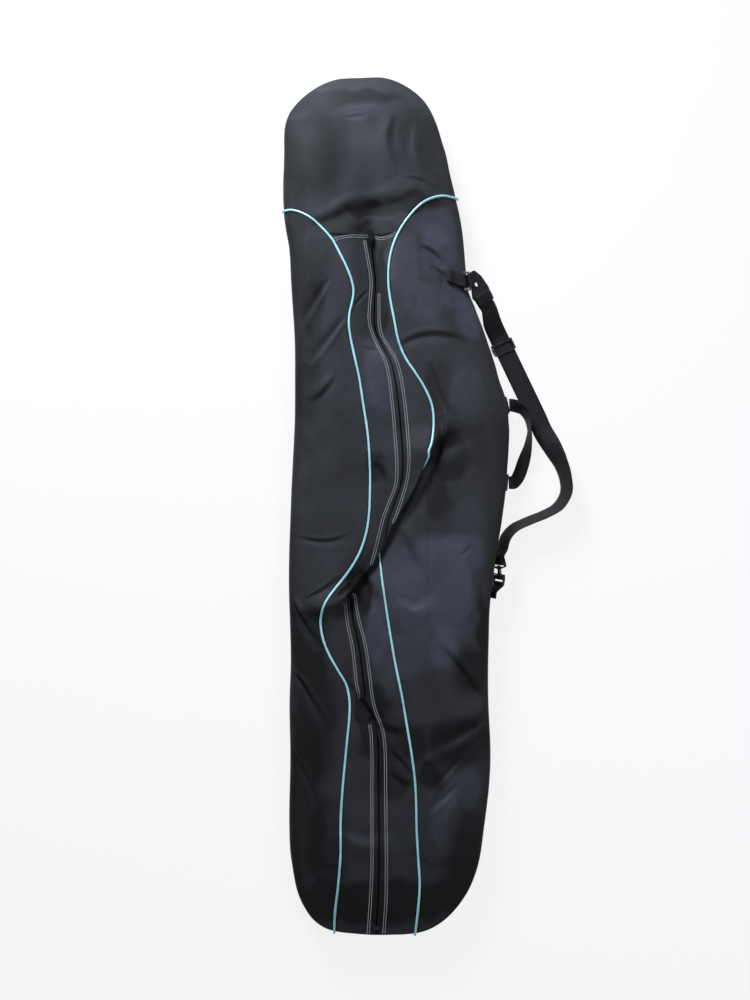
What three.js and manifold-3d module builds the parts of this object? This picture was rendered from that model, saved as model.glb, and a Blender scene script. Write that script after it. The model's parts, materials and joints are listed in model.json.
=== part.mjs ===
// A soft snowboard bag lying on its back panel with the zipped front up.
// Millimetres, +Z up, +Y to the nose, +X to the strap side.
// The origin is in the middle of the back panel, on the face that the bag rests on.

import * as THREE from 'three';
import { mergeVertices } from 'three/addons/utils/BufferGeometryUtils.js';
import Module from 'manifold-3d';

const wasm = await Module();
wasm.setup();

// Driving sizes of the bag
const bag_length = 1650;
const bag_width = 440;
const crown_height = 84;
const seam_height = 46;
const fabric_thickness = 2.4;
const seam_gap = 0.4;
const rim_inset = 5;
const base_inset = 14;
const dome_reach = 90;
const dome_power = 2.2;

// The zip, its valley and the fold that lies over its lower half
const zip_valley_depth = 14;
const zip_valley_reach = 27;
const fold_height = 9;
const fold_ramp = 26;
const fold_reach = 75;
const zip_opening = 13;
const coil_gap = 2.4;
const coil_width = 3;
const coil_height = 2.4;
const tape_width = 14;
const tape_thickness = 1;
const tape_drop = 0.8;

// Piping
const piping_diameter = 4.6;
const piping_sides = 6;
const piping_rise = 0.7;
const piping_start_share = 0.02;

// Webbing and its fittings
const strap_width = 38;
const strap_thickness = 1.8;
const handle_width = 25;
const handle_thickness = 1.8;
const floor_clearance = 0.6;
const running_clearance = 0.5;
const bar_size = 3.4;

const half_length = bag_length / 2;
const half_width = bag_width / 2;

// Numbers of points and facets
const outline_points = 264;
const seam_points = 240;
const zip_points = 300;
const fold_points = 40;
const back_points = 88;
const gusset_points = 84;
const piping_stations = 84;
const side_panel_columns = 6;
const zip_panel_columns = 4;
const nose_panel_columns = 12;
const round_sides = 12;
const corner_steps = 2;
const wide_corner_steps = 3;

// Colours seen on the bag
const charcoal = 0x2b2d33;
const aqua = 0x86d6de;
const webbing_black = 0x17181a;
const moulded_black = 0x1e1f21;
const zip_black = 0x141416;
const dull_metal = 0x9a9c9e;

const bag = new THREE.Group();
const up = new THREE.Vector3(0, 0, 1);

// Helpers on plan lines: a line is a list of Vector2

function planPoints(shares) {
  return shares.map(([x, y]) => new THREE.Vector2(x * half_width, y * half_length));
}

function smoothLine(points, closed, count) {
  const flat = points.map((p) => new THREE.Vector3(p.x, p.y, 0));
  const curve = new THREE.CatmullRomCurve3(flat, closed, 'centripetal');
  const line = curve.getPoints(count).map((p) => new THREE.Vector2(p.x, p.y));
  if (closed) line.pop();
  return line;
}

function offsetLine(line, distance, closed) {
  const last = line.length - 1;
  return line.map((p, i) => {
    const before = closed ? line[(i + last) % line.length] : line[Math.max(i - 1, 0)];
    const after = closed ? line[(i + 1) % line.length] : line[Math.min(i + 1, last)];
    const along = after.clone().sub(before).normalize();
    return new THREE.Vector2(p.x - along.y * distance, p.y + along.x * distance);
  });
}

function crossings(line, y, closed) {
  const found = [];
  const count = closed ? line.length : line.length - 1;
  for (let i = 0; i < count; i += 1) {
    const a = line[i];
    const b = line[(i + 1) % line.length];
    if ((a.y - y) * (b.y - y) > 0 || a.y === b.y) continue;
    found.push(a.x + ((b.x - a.x) * (y - a.y)) / (b.y - a.y));
  }
  return found;
}

function nearestOn(line, x, y, closed) {
  let best = { distance: Infinity, along: 0, side: 1 };
  const count = closed ? line.length : line.length - 1;
  for (let i = 0; i < count; i += 1) {
    const a = line[i];
    const b = line[(i + 1) % line.length];
    const run = b.clone().sub(a);
    const share = THREE.MathUtils.clamp(
      ((x - a.x) * run.x + (y - a.y) * run.y) / run.lengthSq(), 0, 1);
    const dx = x - a.x - run.x * share;
    const dy = y - a.y - run.y * share;
    const distance = Math.hypot(dx, dy);
    if (distance < best.distance) {
      best = { distance, along: (i + share) / count, side: Math.sign(run.x * dy - run.y * dx) || 1 };
    }
  }
  return best;
}

function tableValue(shares, at) {
  const rising = shares[0][0] < shares[1][0] ? shares : [...shares].reverse();
  if (at <= rising[0][0]) return rising[0][1];
  for (let i = 1; i < rising.length; i += 1) {
    const [from, low] = rising[i - 1];
    const [to, high] = rising[i];
    if (at <= to) return low + ((high - low) * (at - from)) / (to - from);
  }
  return rising[rising.length - 1][1];
}

// Outlines read from the bag, as shares of half its width and half its length

const silhouette_shares = [
  [-0.194, 1.0], [-0.004, 1.0], [0.111, 0.992], [0.237, 0.974], [0.347, 0.950], [0.426, 0.922],
  [0.485, 0.887], [0.544, 0.831], [0.590, 0.775], [0.640, 0.705], [0.690, 0.627], [0.717, 0.527],
  [0.731, 0.483], [0.789, 0.439], [0.848, 0.393], [0.905, 0.344], [0.946, 0.308], [0.987, 0.265],
  [1.036, 0.224], [1.062, 0.186], [1.063, 0.145], [1.050, 0.085], [1.030, 0.020], [0.975, -0.074],
  [0.939, -0.125], [0.897, -0.195], [0.857, -0.262], [0.835, -0.350], [0.820, -0.483],
  [0.827, -0.600], [0.807, -0.676], [0.761, -0.760], [0.705, -0.844], [0.632, -0.896],
  [0.500, -0.945], [0.364, -0.976], [0.199, -0.995], [-0.087, -1.0], [-0.335, -0.997],
  [-0.600, -0.985], [-0.739, -0.960], [-0.818, -0.928], [-0.872, -0.889], [-0.911, -0.825],
  [-0.922, -0.747], [-0.907, -0.602], [-0.909, -0.482], [-0.894, -0.376], [-0.905, -0.210],
  [-0.889, -0.075], [-0.867, 0.031], [-0.840, 0.147], [-0.831, 0.250], [-0.831, 0.367],
  [-0.852, 0.490], [-0.866, 0.588], [-0.907, 0.681], [-0.950, 0.745], [-0.965, 0.809],
  [-0.936, 0.866], [-0.898, 0.898], [-0.843, 0.924], [-0.733, 0.952], [-0.604, 0.977],
  [-0.504, 0.990], [-0.398, 0.998],
];

const left_piping_shares = [
  [-0.875, 0.672], [-0.827, 0.669], [-0.731, 0.657], [-0.632, 0.638], [-0.548, 0.615],
  [-0.462, 0.586], [-0.403, 0.555], [-0.343, 0.521], [-0.300, 0.488], [-0.288, 0.466],
  [-0.302, 0.440], [-0.325, 0.415], [-0.332, 0.386], [-0.317, 0.353], [-0.283, 0.306],
  [-0.250, 0.262], [-0.223, 0.208], [-0.185, 0.131], [-0.172, 0.055], [-0.176, -0.005],
  [-0.187, -0.051], [-0.212, -0.090], [-0.262, -0.130], [-0.330, -0.163], [-0.412, -0.193],
  [-0.490, -0.218], [-0.567, -0.247], [-0.609, -0.282], [-0.603, -0.316], [-0.560, -0.354],
  [-0.473, -0.399], [-0.409, -0.432], [-0.380, -0.465], [-0.382, -0.505], [-0.402, -0.553],
  [-0.426, -0.610], [-0.448, -0.665], [-0.467, -0.733], [-0.472, -0.802], [-0.496, -0.872],
  [-0.530, -0.941], [-0.540, -0.972],
];

const right_piping_shares = [
  [0.600, 0.695], [0.517, 0.692], [0.404, 0.682], [0.306, 0.666], [0.216, 0.642],
  [0.134, 0.613], [0.078, 0.584], [0.039, 0.552], [0.019, 0.517], [0.018, 0.473],
  [0.036, 0.430], [0.059, 0.395], [0.090, 0.351], [0.144, 0.311], [0.225, 0.274],
  [0.299, 0.240], [0.365, 0.200], [0.378, 0.161], [0.358, 0.119], [0.310, 0.078],
  [0.237, 0.034], [0.160, -0.014], [0.098, -0.058], [0.036, -0.102], [-0.038, -0.146],
  [-0.074, -0.190], [-0.061, -0.253], [-0.024, -0.322], [0.017, -0.392], [0.062, -0.459],
  [0.103, -0.528], [0.136, -0.590], [0.158, -0.648], [0.166, -0.701], [0.166, -0.754],
  [0.175, -0.823], [0.179, -0.875], [0.168, -0.927], [0.140, -0.974],
];

const zip_centre_shares = [
  [-0.127, 0.589], [-0.118, 0.490], [-0.109, 0.391], [-0.088, 0.365], [-0.037, 0.336],
  [0.018, 0.305], [0.055, 0.269], [0.076, 0.220], [0.090, 0.180], [0.105, 0.112], [0.108, 0.058],
  [0.088, 0.016], [0.041, -0.020], [-0.008, -0.054], [-0.060, -0.092], [-0.130, -0.130],
  [-0.225, -0.168], [-0.320, -0.205], [-0.362, -0.245], [-0.342, -0.292], [-0.297, -0.345],
  [-0.267, -0.404], [-0.250, -0.450], [-0.215, -0.489], [-0.168, -0.527], [-0.145, -0.575],
  [-0.143, -0.669], [-0.148, -0.760], [-0.155, -0.850], [-0.167, -0.908], [-0.185, -0.974],
];

const fold_edge_shares = [
  [0.435, 0.141], [0.327, 0.081], [0.255, 0.036], [0.190, 0.002], [0.122, -0.030],
  [0.034, -0.064], [-0.020, -0.093], [-0.090, -0.133], [-0.169, -0.165], [-0.256, -0.193],
  [-0.330, -0.220], [-0.390, -0.236], [-0.463, -0.251], [-0.531, -0.258],
];

// Crown height along the bag: place as a share of half the length, height as a share of the crown
const crown_shares = [
  [-1.0, 0.66], [-0.93, 0.76], [-0.75, 0.84], [-0.45, 0.86], [-0.25, 0.88], [-0.05, 0.96],
  [0.12, 1.0], [0.26, 0.96], [0.36, 0.9], [0.62, 0.9], [0.68, 0.94], [0.80, 0.97], [0.92, 0.9],
  [1.0, 0.74],
];

// How much of the zip's valley is left along the bag
const valley_shares = [
  [-1.0, 0.3], [-0.8, 0.5], [-0.5, 0.9], [-0.25, 1.0], [-0.1, 0.55], [0.1, 0.5], [0.3, 0.8],
  [0.37, 1.0], [0.63, 1.0], [0.68, 0.55], [0.75, 0.1], [0.80, 0.0], [1.0, 0.0],
];

const top_seam_share = 0.597;
const top_seam_y = top_seam_share * half_length;

const silhouette = smoothLine(planPoints(silhouette_shares), true, outline_points);
const left_piping_line = smoothLine(planPoints(left_piping_shares), false, seam_points);
const right_piping_line = smoothLine(planPoints(right_piping_shares), false, seam_points);
const zip_line = smoothLine(planPoints(zip_centre_shares), false, zip_points);
const fold_line = smoothLine(planPoints(fold_edge_shares), false, fold_points);
const rim_line = offsetLine(silhouette, -rim_inset, true);

function zipX(y) {
  const found = crossings(zip_line, y, false);
  if (found.length > 0) return found[0];
  return y > 0 ? zip_line[0].x : zip_line[zip_line.length - 1].x;
}

// Height of the bag's upper face at a place in plan
function frontHeight(x, y) {
  const rim = seam_height + seam_gap + fabric_thickness;
  const along = y / half_length;
  const inside = Math.max(nearestOn(silhouette, x, y, true).distance - rim_inset, 0);
  const rise = 1 - Math.pow(1 - Math.min(inside / dome_reach, 1), dome_power);
  let height = rim + (crown_height * tableValue(crown_shares, along) - rim) * rise;
  const off_zip = (x - zipX(y)) / zip_valley_reach;
  height -= zip_valley_depth * tableValue(valley_shares, along) * Math.exp(-off_zip * off_zip) * rise;
  const fold = nearestOn(fold_line, x, y, false);
  const window = Math.pow(Math.sin(Math.PI * THREE.MathUtils.clamp(fold.along, 0, 1)), 2);
  if (fold.side < 0) {
    const climb = THREE.MathUtils.smoothstep(fold.distance, 0, fold_ramp);
    const fade = Math.exp(-Math.pow(fold.distance / fold_reach, 2));
    height += fold_height * window * climb * fade * rise;
  }
  return height;
}

// Closed solids

function outward(geometry) {
  const place = geometry.getAttribute('position');
  const index = geometry.index.array;
  const a = new THREE.Vector3();
  const b = new THREE.Vector3();
  const c = new THREE.Vector3();
  let volume = 0;
  for (let i = 0; i < index.length; i += 3) {
    a.fromBufferAttribute(place, index[i]);
    b.fromBufferAttribute(place, index[i + 1]);
    c.fromBufferAttribute(place, index[i + 2]);
    volume += a.dot(b.cross(c));
  }
  if (volume < 0) {
    for (let i = 0; i < index.length; i += 3) {
      [index[i + 1], index[i + 2]] = [index[i + 2], index[i + 1]];
    }
  }
  return geometry;
}

function solidFrom(points, faces) {
  const geometry = new THREE.BufferGeometry();
  const places = points.flatMap((p) => [p.x, p.y, p.z]);
  geometry.setAttribute('position', new THREE.Float32BufferAttribute(places, 3));
  geometry.setIndex(faces);
  geometry.computeVertexNormals();
  return outward(geometry);
}

// A sheet with an even number of points in every row, given its thickness straight down
function sheetSolid(rows, thickness) {
  const columns = rows[0].length;
  const upper = rows.flat();
  const points = [...upper, ...upper.map((p) => new THREE.Vector3(p.x, p.y, p.z - thickness))];
  const below = upper.length;
  const faces = [];
  const quad = (a, b, c, d) => faces.push(a, b, c, a, c, d);
  for (let r = 0; r + 1 < rows.length; r += 1) {
    for (let c = 0; c + 1 < columns; c += 1) {
      const at = r * columns + c;
      quad(at, at + 1, at + columns + 1, at + columns);
      quad(below + at + columns, below + at + columns + 1, below + at + 1, below + at);
    }
    const left = r * columns;
    const right = left + columns - 1;
    quad(left, left + columns, below + left + columns, below + left);
    quad(right + columns, right, below + right, below + right + columns);
  }
  const last = (rows.length - 1) * columns;
  for (let c = 0; c + 1 < columns; c += 1) {
    quad(c + 1, c, below + c, below + c + 1);
    quad(last + c, last + c + 1, below + last + c + 1, below + last + c);
  }
  return solidFrom(points, faces);
}

// A section swept through stations, each a loop of the same number of points
function sweptSolid(loops, closed) {
  const sides = loops[0].length;
  const faces = [];
  const spans = closed ? loops.length : loops.length - 1;
  for (let i = 0; i < spans; i += 1) {
    const here = i * sides;
    const next = ((i + 1) % loops.length) * sides;
    for (let k = 0; k < sides; k += 1) {
      const m = (k + 1) % sides;
      faces.push(here + k, here + m, next + m, here + k, next + m, next + k);
    }
  }
  if (!closed) {
    const end = (loops.length - 1) * sides;
    for (let k = 1; k + 1 < sides; k += 1) {
      faces.push(0, k + 1, k);
      faces.push(end, end + k, end + k + 1);
    }
  }
  return solidFrom(loops.flat(), faces);
}

function toManifold(geometry) {
  const bare = new THREE.BufferGeometry();
  bare.setAttribute('position', geometry.getAttribute('position').clone());
  if (geometry.index) bare.setIndex(geometry.index.clone());
  const merged = mergeVertices(bare);
  return new wasm.Manifold(new wasm.Mesh({
    numProp: 3,
    vertProperties: new Float32Array(merged.getAttribute('position').array),
    triVerts: new Uint32Array(merged.index.array),
  }));
}

function fromManifold(solid) {
  const mesh = solid.getMesh();
  const geometry = new THREE.BufferGeometry();
  geometry.setAttribute('position', new THREE.Float32BufferAttribute(mesh.vertProperties, 3));
  geometry.setIndex(Array.from(mesh.triVerts));
  geometry.computeVertexNormals();
  return geometry;
}

function joined(...geometries) {
  return fromManifold(geometries.map(toManifold).reduce((a, b) => a.add(b)));
}

function cut(body, ...tools) {
  return fromManifold(tools.map(toManifold).reduce((a, b) => a.subtract(b), toManifold(body)));
}

function boxBetween(low, high) {
  const size = high.clone().sub(low);
  const box = new THREE.BoxGeometry(size.x, size.y, size.z);
  return box.translate(low.x + size.x / 2, low.y + size.y / 2, low.z + size.z / 2);
}

function plate(outline, holes, bottom, top) {
  const shape = new THREE.Shape(outline);
  holes.forEach((hole) => shape.holes.push(new THREE.Path(hole)));
  const solid = new THREE.ExtrudeGeometry(shape, { depth: top - bottom, bevelEnabled: false });
  return solid.translate(0, 0, bottom);
}

function roundedCorners(corners, radius, steps) {
  const points = [];
  corners.forEach((corner, i) => {
    const before = corners[(i + corners.length - 1) % corners.length];
    const after = corners[(i + 1) % corners.length];
    const into = corner.clone().sub(before).normalize().multiplyScalar(radius);
    const away = after.clone().sub(corner).normalize().multiplyScalar(radius);
    const start = corner.clone().sub(into);
    const end = corner.clone().add(away);
    const curve = new THREE.QuadraticBezierCurve(start, corner, end);
    points.push(...curve.getPoints(steps));
  });
  return points;
}

function rectangle(x0, y0, x1, y1) {
  return [
    new THREE.Vector2(x0, y0), new THREE.Vector2(x1, y0),
    new THREE.Vector2(x1, y1), new THREE.Vector2(x0, y1),
  ];
}

function circleOutline(x, y, radius, sides) {
  const points = [];
  for (let i = 0; i < sides; i += 1) {
    const turn = (i / sides) * Math.PI * 2;
    points.push(new THREE.Vector2(x + radius * Math.cos(turn), y + radius * Math.sin(turn)));
  }
  return points;
}

// A frame whose x, y and z lie along three directions of the bag
function placed(geometry, origin, alongX, alongY, alongZ) {
  const matrix = new THREE.Matrix4().makeBasis(alongX, alongY, alongZ).setPosition(origin);
  return geometry.applyMatrix4(matrix);
}

function addPiece(name, geometry, color, roughness, metalness) {
  const piece = new THREE.Mesh(geometry, new THREE.MeshStandardMaterial({ color, roughness, metalness }));
  piece.name = name;
  bag.add(piece);
}

const fabric_roughness = 0.78;
const webbing_roughness = 0.7;
const moulded_roughness = 0.42;
const metal_roughness = 0.35;
const painted_metalness = 0.6;
const bare_metalness = 0.8;

// Shell: back panel, gusset and the five panels of the front

function makeBackPanel() {
  const back_inset = base_inset - 2 * fabric_thickness;
  const coarse = smoothLine(planPoints(silhouette_shares), true, back_points);
  const outline = offsetLine(coarse, -back_inset, true);
  addPiece('back_panel', plate(outline, [], 0, fabric_thickness), charcoal, fabric_roughness, 0);
}

// Inset from the silhouette and height above the floor of the gusset's outer face
const gusset_height_shares = [0.0, 0.22, 0.61, 0.83, 1.0];
const gusset_inset_shares = [1.0, 0.45, 0.0, 0.08, 0.36];

function makeGusset() {
  const coarse = smoothLine(planPoints(silhouette_shares), true, gusset_points);
  const bottom = fabric_thickness + seam_gap;
  const outer = gusset_height_shares.map((share, i) => [
    base_inset * gusset_inset_shares[i],
    bottom + (seam_height - bottom) * share,
  ]);
  const inner = outer.map(([inset, height]) => [inset + fabric_thickness, height]).reverse();
  const section = [...outer, ...inner];
  const lines = section.map(([inset]) => offsetLine(coarse, -inset, true));
  const loops = coarse.map((_, i) => section.map(
    ([, height], k) => new THREE.Vector3(lines[k][i].x, lines[k][i].y, height)));
  addPiece('gusset', sweptSolid(loops, true), charcoal, fabric_roughness, 0);
}

// Places along the bag where a panel gets a row: close together where its seams bend
function rowPlaces(low, high, ...lines) {
  const inside = (y) => y > low + least_row_step && y < high - least_row_step;
  const candidates = lines.flat().map((p) => p.y).filter(inside).sort((a, b) => a - b);
  candidates.push(high);
  const kept = [low];
  let before = low;
  candidates.forEach((y, i) => {
    const from = kept[kept.length - 1];
    const between = candidates.slice(0, i).filter((place) => place > from);
    const bent = lines.some((line) => {
      const start = lineX(line, from);
      const slope = (lineX(line, y) - start) / (y - from || 1);
      return between.some((place) => {
        const straight = start + slope * (place - from);
        return Math.abs(straight - lineX(line, place)) > row_tolerance;
      });
    });
    if ((bent || y - from > most_row_step) && before - from > least_row_step) kept.push(before);
    before = y;
  });
  kept.push(high);
  return kept;
}

function panelRows(places, leftAt, rightAt, columns) {
  return places.map((y) => {
    const left = leftAt(y);
    const right = rightAt(y);
    const row = [];
    for (let c = 0; c <= columns; c += 1) {
      const x = left + ((right - left) * c) / columns;
      row.push(new THREE.Vector3(x, y, frontHeight(x, y)));
    }
    return row;
  });
}

const piping_radius = piping_diameter / 2;
const seam_margin = piping_radius + 3 * seam_gap;
const zip_margin = zip_opening / 2;
const row_tolerance = 0.5;
const least_row_step = 3.5;
const most_row_step = 36;
const least_width = 5;

const left_of_left_piping = offsetLine(left_piping_line, -seam_margin, false);
const right_of_left_piping = offsetLine(left_piping_line, seam_margin, false);
const left_of_right_piping = offsetLine(right_piping_line, -seam_margin, false);
const right_of_right_piping = offsetLine(right_piping_line, seam_margin, false);
const left_of_zip = offsetLine(zip_line, -zip_margin, false);
const right_of_zip = offsetLine(zip_line, zip_margin, false);

function lineX(line, y) {
  const found = crossings(line, y, false);
  if (found.length > 0) return found[0];
  return y > line[0].y ? line[0].x : line[line.length - 1].x;
}

function rimX(y, pick) {
  return pick(...crossings(rim_line, y, true));
}

const tail_y = -half_length + rim_inset + seam_gap;
const nose_y = half_length - rim_inset - 2 * seam_gap;
const below_top_seam = top_seam_y - seam_gap;
const above_top_seam = top_seam_y + seam_gap;

function makeSidePanel(name, pipingLine, pick) {
  const inner = (y) => lineX(pipingLine, y);
  const outer = (y) => rimX(y, pick);
  const left = pick === Math.min ? outer : inner;
  const right = pick === Math.min ? inner : outer;
  const wide = (y) => right(y) - left(y) > least_width;
  let low = tail_y;
  while (!wide(low)) low += seam_gap;
  let high = pipingLine[0].y - seam_gap;
  while (!wide(high)) high -= seam_gap;
  const rim = rim_line.filter((p) => (p.x < 0) === (pick === Math.min));
  const places = rowPlaces(low, high, pipingLine, rim);
  const rows = panelRows(places, left, right, side_panel_columns);
  addPiece(name, sheetSolid(rows, fabric_thickness), charcoal, fabric_roughness, 0);
}

function makeZipPanel(name, leftLine, rightLine) {
  const rows = panelRows(zip_places, (y) => lineX(leftLine, y), (y) => lineX(rightLine, y),
    zip_panel_columns);
  addPiece(name, sheetSolid(rows, fabric_thickness), charcoal, fabric_roughness, 0);
}

function makeNosePanel() {
  const leftTop = right_of_left_piping[0].y;
  const rightTop = left_of_right_piping[0].y;
  const left = (y) => {
    const rim = rimX(y, Math.min);
    return y < leftTop ? Math.max(lineX(right_of_left_piping, y), rim) : rim;
  };
  const right = (y) => {
    const rim = rimX(y, Math.max);
    return y < rightTop ? Math.min(lineX(left_of_right_piping, y), rim) : rim;
  };
  const rims = [Math.min, Math.max].map((pick) => rim_line.filter(
    (p) => p.y > above_top_seam && p.y < nose_y && p.x === rimX(p.y, pick)));
  const places = rowPlaces(above_top_seam, nose_y, right_of_left_piping, left_of_right_piping, ...rims);
  const rows = panelRows(places, left, right, nose_panel_columns);
  addPiece('nose_panel', sheetSolid(rows, fabric_thickness), charcoal, fabric_roughness, 0);
}

// The piping is a fabric covered cord that stands a little proud of the seam
function makePiping(name, line) {
  const sink = piping_radius - piping_rise;
  const from = Math.ceil(line.length * piping_start_share);
  const run = line.slice(from, line.length - 2).map(
    (p) => new THREE.Vector3(p.x, p.y, frontHeight(p.x, p.y) - sink));
  const path = new THREE.CatmullRomCurve3(run, false, 'centripetal');
  const section = new THREE.Shape(circleOutline(0, 0, piping_radius, piping_sides));
  const cord = new THREE.ExtrudeGeometry(section,
    { steps: piping_stations, bevelEnabled: false, extrudePath: path });
  addPiece(name, cord, aqua, fabric_roughness, 0);
}

// Zip: two tapes with a coil on each, stops, slider and pull

const slider_length = 16;
const slide_end_share = 0.40;
const slide_end_y = slide_end_share * half_length;

const zip_tail_inset = 8;
const zip_places = rowPlaces(tail_y, below_top_seam, left_of_zip, right_of_zip,
  right_of_left_piping, left_of_right_piping);

function zipHeight(y) {
  return frontHeight(zipX(y), y);
}

// The zip lies flat across where the slider runs, and follows the bag's face elsewhere
function zipLevel(x, y) {
  const flat = THREE.MathUtils.smoothstep(y, slide_end_y - 4 * slider_length, slide_end_y - slider_length);
  return THREE.MathUtils.lerp(frontHeight(x, y), zipHeight(y), flat);
}

// A strip beside the zip's centre line, through given offsets, from one drop to another
function zipStrip(offsets, top, bottom) {
  const lines = offsets.map((offset) => offsetLine(zip_line, offset, false));
  const places = [tail_y + zip_tail_inset, ...zip_places.filter((y) => y > tail_y + 2 * zip_tail_inset)];
  const loops = places.map((y) => {
    const xs = lines.map((line) => lineX(line, y));
    const upper = xs.map((x) => new THREE.Vector3(x, y, zipLevel(x, y) - top));
    const lower = upper.map((p) => new THREE.Vector3(p.x, y, p.z + top - bottom)).reverse();
    return [...upper, ...lower];
  });
  return sweptSolid(loops, false);
}

const tape_top = fabric_thickness + tape_drop;
const tape_bottom = tape_top + tape_thickness;

function makeZipHalf(side, sign) {
  const near = (sign * coil_gap) / 2;
  const coil_far = near + sign * coil_width;
  const tape_far = near + sign * tape_width;
  const tape = zipStrip([near, coil_far, tape_far], tape_top, tape_bottom);
  addPiece(`zip_tape_${side}`, tape, zip_black, webbing_roughness, 0);
  const coil_bottom = tape_top - seam_gap;
  const coil_top = coil_bottom - coil_height + seam_gap;
  const coil = zipStrip([near, coil_far], coil_top, coil_bottom);
  addPiece(`zip_coil_${side}`, coil, zip_black, moulded_roughness, 0);
}

const slider_plate = 1.4;
const slider_neck = 1.3;
const slider_flange = 1.1;
const slider_half_width = zip_margin - running_clearance;
const slider_y = below_top_seam - slider_length / 2 - seam_gap;
const zip_run = new THREE.Vector3(
  zipX(slide_end_y) - zipX(slider_y), slide_end_y - slider_y,
  zipHeight(slide_end_y) - zipHeight(slider_y)).normalize();
const slider_origin = new THREE.Vector3(zipX(slider_y), slider_y, zipHeight(slider_y));
const back_along_zip = zip_run.clone().negate();
const across_zip = new THREE.Vector3().crossVectors(back_along_zip, up).normalize();
const off_zip_plane = new THREE.Vector3().crossVectors(across_zip, back_along_zip);
const bridge_height = 5;
const bridge_width = 3;
const bridge_wall = 1.3;
const bridge_length = 10;
const plate_bottom = running_clearance;
const plate_top = plate_bottom + slider_plate;

function makeSlider() {
  const half = slider_length / 2;
  const flange_bottom = -tape_top + running_clearance;
  const under_top = -tape_bottom - running_clearance;
  const under_bottom = under_top - slider_plate;
  const corners = [
    new THREE.Vector2(-slider_half_width, -half / 2), new THREE.Vector2(-slider_half_width / 2, -half),
    new THREE.Vector2(slider_half_width / 2, -half), new THREE.Vector2(slider_half_width, -half / 2),
    new THREE.Vector2(slider_half_width, half), new THREE.Vector2(-slider_half_width, half),
  ];
  const upper = plate(roundedCorners(corners, slider_flange, corner_steps), [], plate_bottom, plate_top);
  const under = plate(roundedCorners(corners, slider_flange, corner_steps), [], under_bottom, under_top);
  const neck = boxBetween(new THREE.Vector3(-slider_neck / 2, 0, under_top - slider_plate / 2),
    new THREE.Vector3(slider_neck / 2, half - slider_flange, plate_bottom + slider_plate / 2));
  const flanges = [-1, 1].map((side) => {
    const inner = side * (slider_half_width - slider_flange);
    const outer = side * slider_half_width;
    return boxBetween(
      new THREE.Vector3(Math.min(inner, outer), -half / 2, flange_bottom),
      new THREE.Vector3(Math.max(inner, outer), half - slider_flange, plate_bottom + slider_plate / 2));
  });
  const arch = plate(rectangle(-bridge_length / 2, plate_top - slider_plate / 2, bridge_length / 2,
    plate_top + bridge_height), [rectangle(-bridge_length / 2 + bridge_wall, plate_top,
    bridge_length / 2 - bridge_wall, plate_top + bridge_height - bridge_wall)],
    -bridge_width / 2, bridge_width / 2);
  arch.applyMatrix4(new THREE.Matrix4().makeBasis(
    new THREE.Vector3(0, 1, 0), new THREE.Vector3(0, 0, 1), new THREE.Vector3(1, 0, 0)));
  const body = joined(upper, under, neck, ...flanges, arch);
  addPiece('zip_slider', placed(body, slider_origin, across_zip, back_along_zip, off_zip_plane),
    moulded_black, metal_roughness, painted_metalness);
}

// The pull's eye goes round the slider's bridge, and the pull lies over the top seam
const pull_length = 22;
const pull_width = 9;
const pull_thickness = 1.4;
const pull_eye_wall = 1.6;
const pull_hole_radius = 1.8;
const pull_bar_height = plate_top + (bridge_height - bridge_wall) / 2;

function makePull() {
  const eye = bridge_width + 2 * running_clearance;
  const start = -pull_eye_wall / 2;
  const outline = roundedCorners([
    new THREE.Vector2(-eye / 2 - pull_eye_wall, start), new THREE.Vector2(eye / 2 + pull_eye_wall, start),
    new THREE.Vector2(pull_width / 2, pull_length / 2), new THREE.Vector2(pull_width / 2, pull_length),
    new THREE.Vector2(-pull_width / 2, pull_length), new THREE.Vector2(-pull_width / 2, pull_length / 2),
  ], pull_eye_wall / 2, corner_steps);
  const eye_hole = rectangle(-eye / 2, start + pull_eye_wall, eye / 2, start + bridge_length);
  const cord_hole = circleOutline(0, pull_length - pull_width / 2, pull_hole_radius, round_sides);
  const body = plate(outline, [eye_hole, cord_hole], pull_bar_height - pull_thickness / 2,
    pull_bar_height + pull_thickness / 2);
  addPiece('zip_pull', placed(body, slider_origin, across_zip, back_along_zip, off_zip_plane),
    moulded_black, metal_roughness, painted_metalness);
}

const stop_length = 5;

function makeBottomStop() {
  const y = tail_y + zip_tail_inset + stop_length;
  const half = coil_gap / 2 + coil_width;
  const low = -coil_height + seam_gap;
  const body = boxBetween(new THREE.Vector3(-half, -stop_length / 2, seam_gap),
    new THREE.Vector3(half, stop_length / 2, seam_gap + tape_thickness));
  const leg = boxBetween(new THREE.Vector3(-coil_gap / 2 + seam_gap, -stop_length / 2, low),
    new THREE.Vector3(coil_gap / 2 - seam_gap, stop_length / 2, seam_gap + tape_thickness / 2));
  const clip = joined(body, leg);
  clip.translate(zipX(y), y, zipHeight(y) + seam_gap);
  addPiece('zip_bottom_stop', clip, dull_metal, metal_roughness, bare_metalness);
}

// Strap hardware. The strap swings about one line: through the upper ring's inner bar
// and along the stem of the lower swivel.

const upper_bar = new THREE.Vector3(0.675 * half_width, 0.491 * half_length, 59.6);
const lower_stem = new THREE.Vector3(0.948 * half_width, -0.182 * half_length, 22.5);
const swing = lower_stem.clone().sub(upper_bar).normalize();

const tab_width = 27;
const tab_length = 29;
const tab_layers = 2 * strap_thickness;
const tab_seat = 0.7;
const tab_loop_steps = 10;
const tab_loop_share = 0.86;
const ring_room = 1.5;
const tab_reach_shares = [0.3, 0.46, 0.62, 0.8, 1.0];
const loop_radius = bar_size * Math.SQRT1_2 + running_clearance;
const ring_pitch = 13.5;
const ring_window = tab_width + 2 * running_clearance + ring_room;

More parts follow.
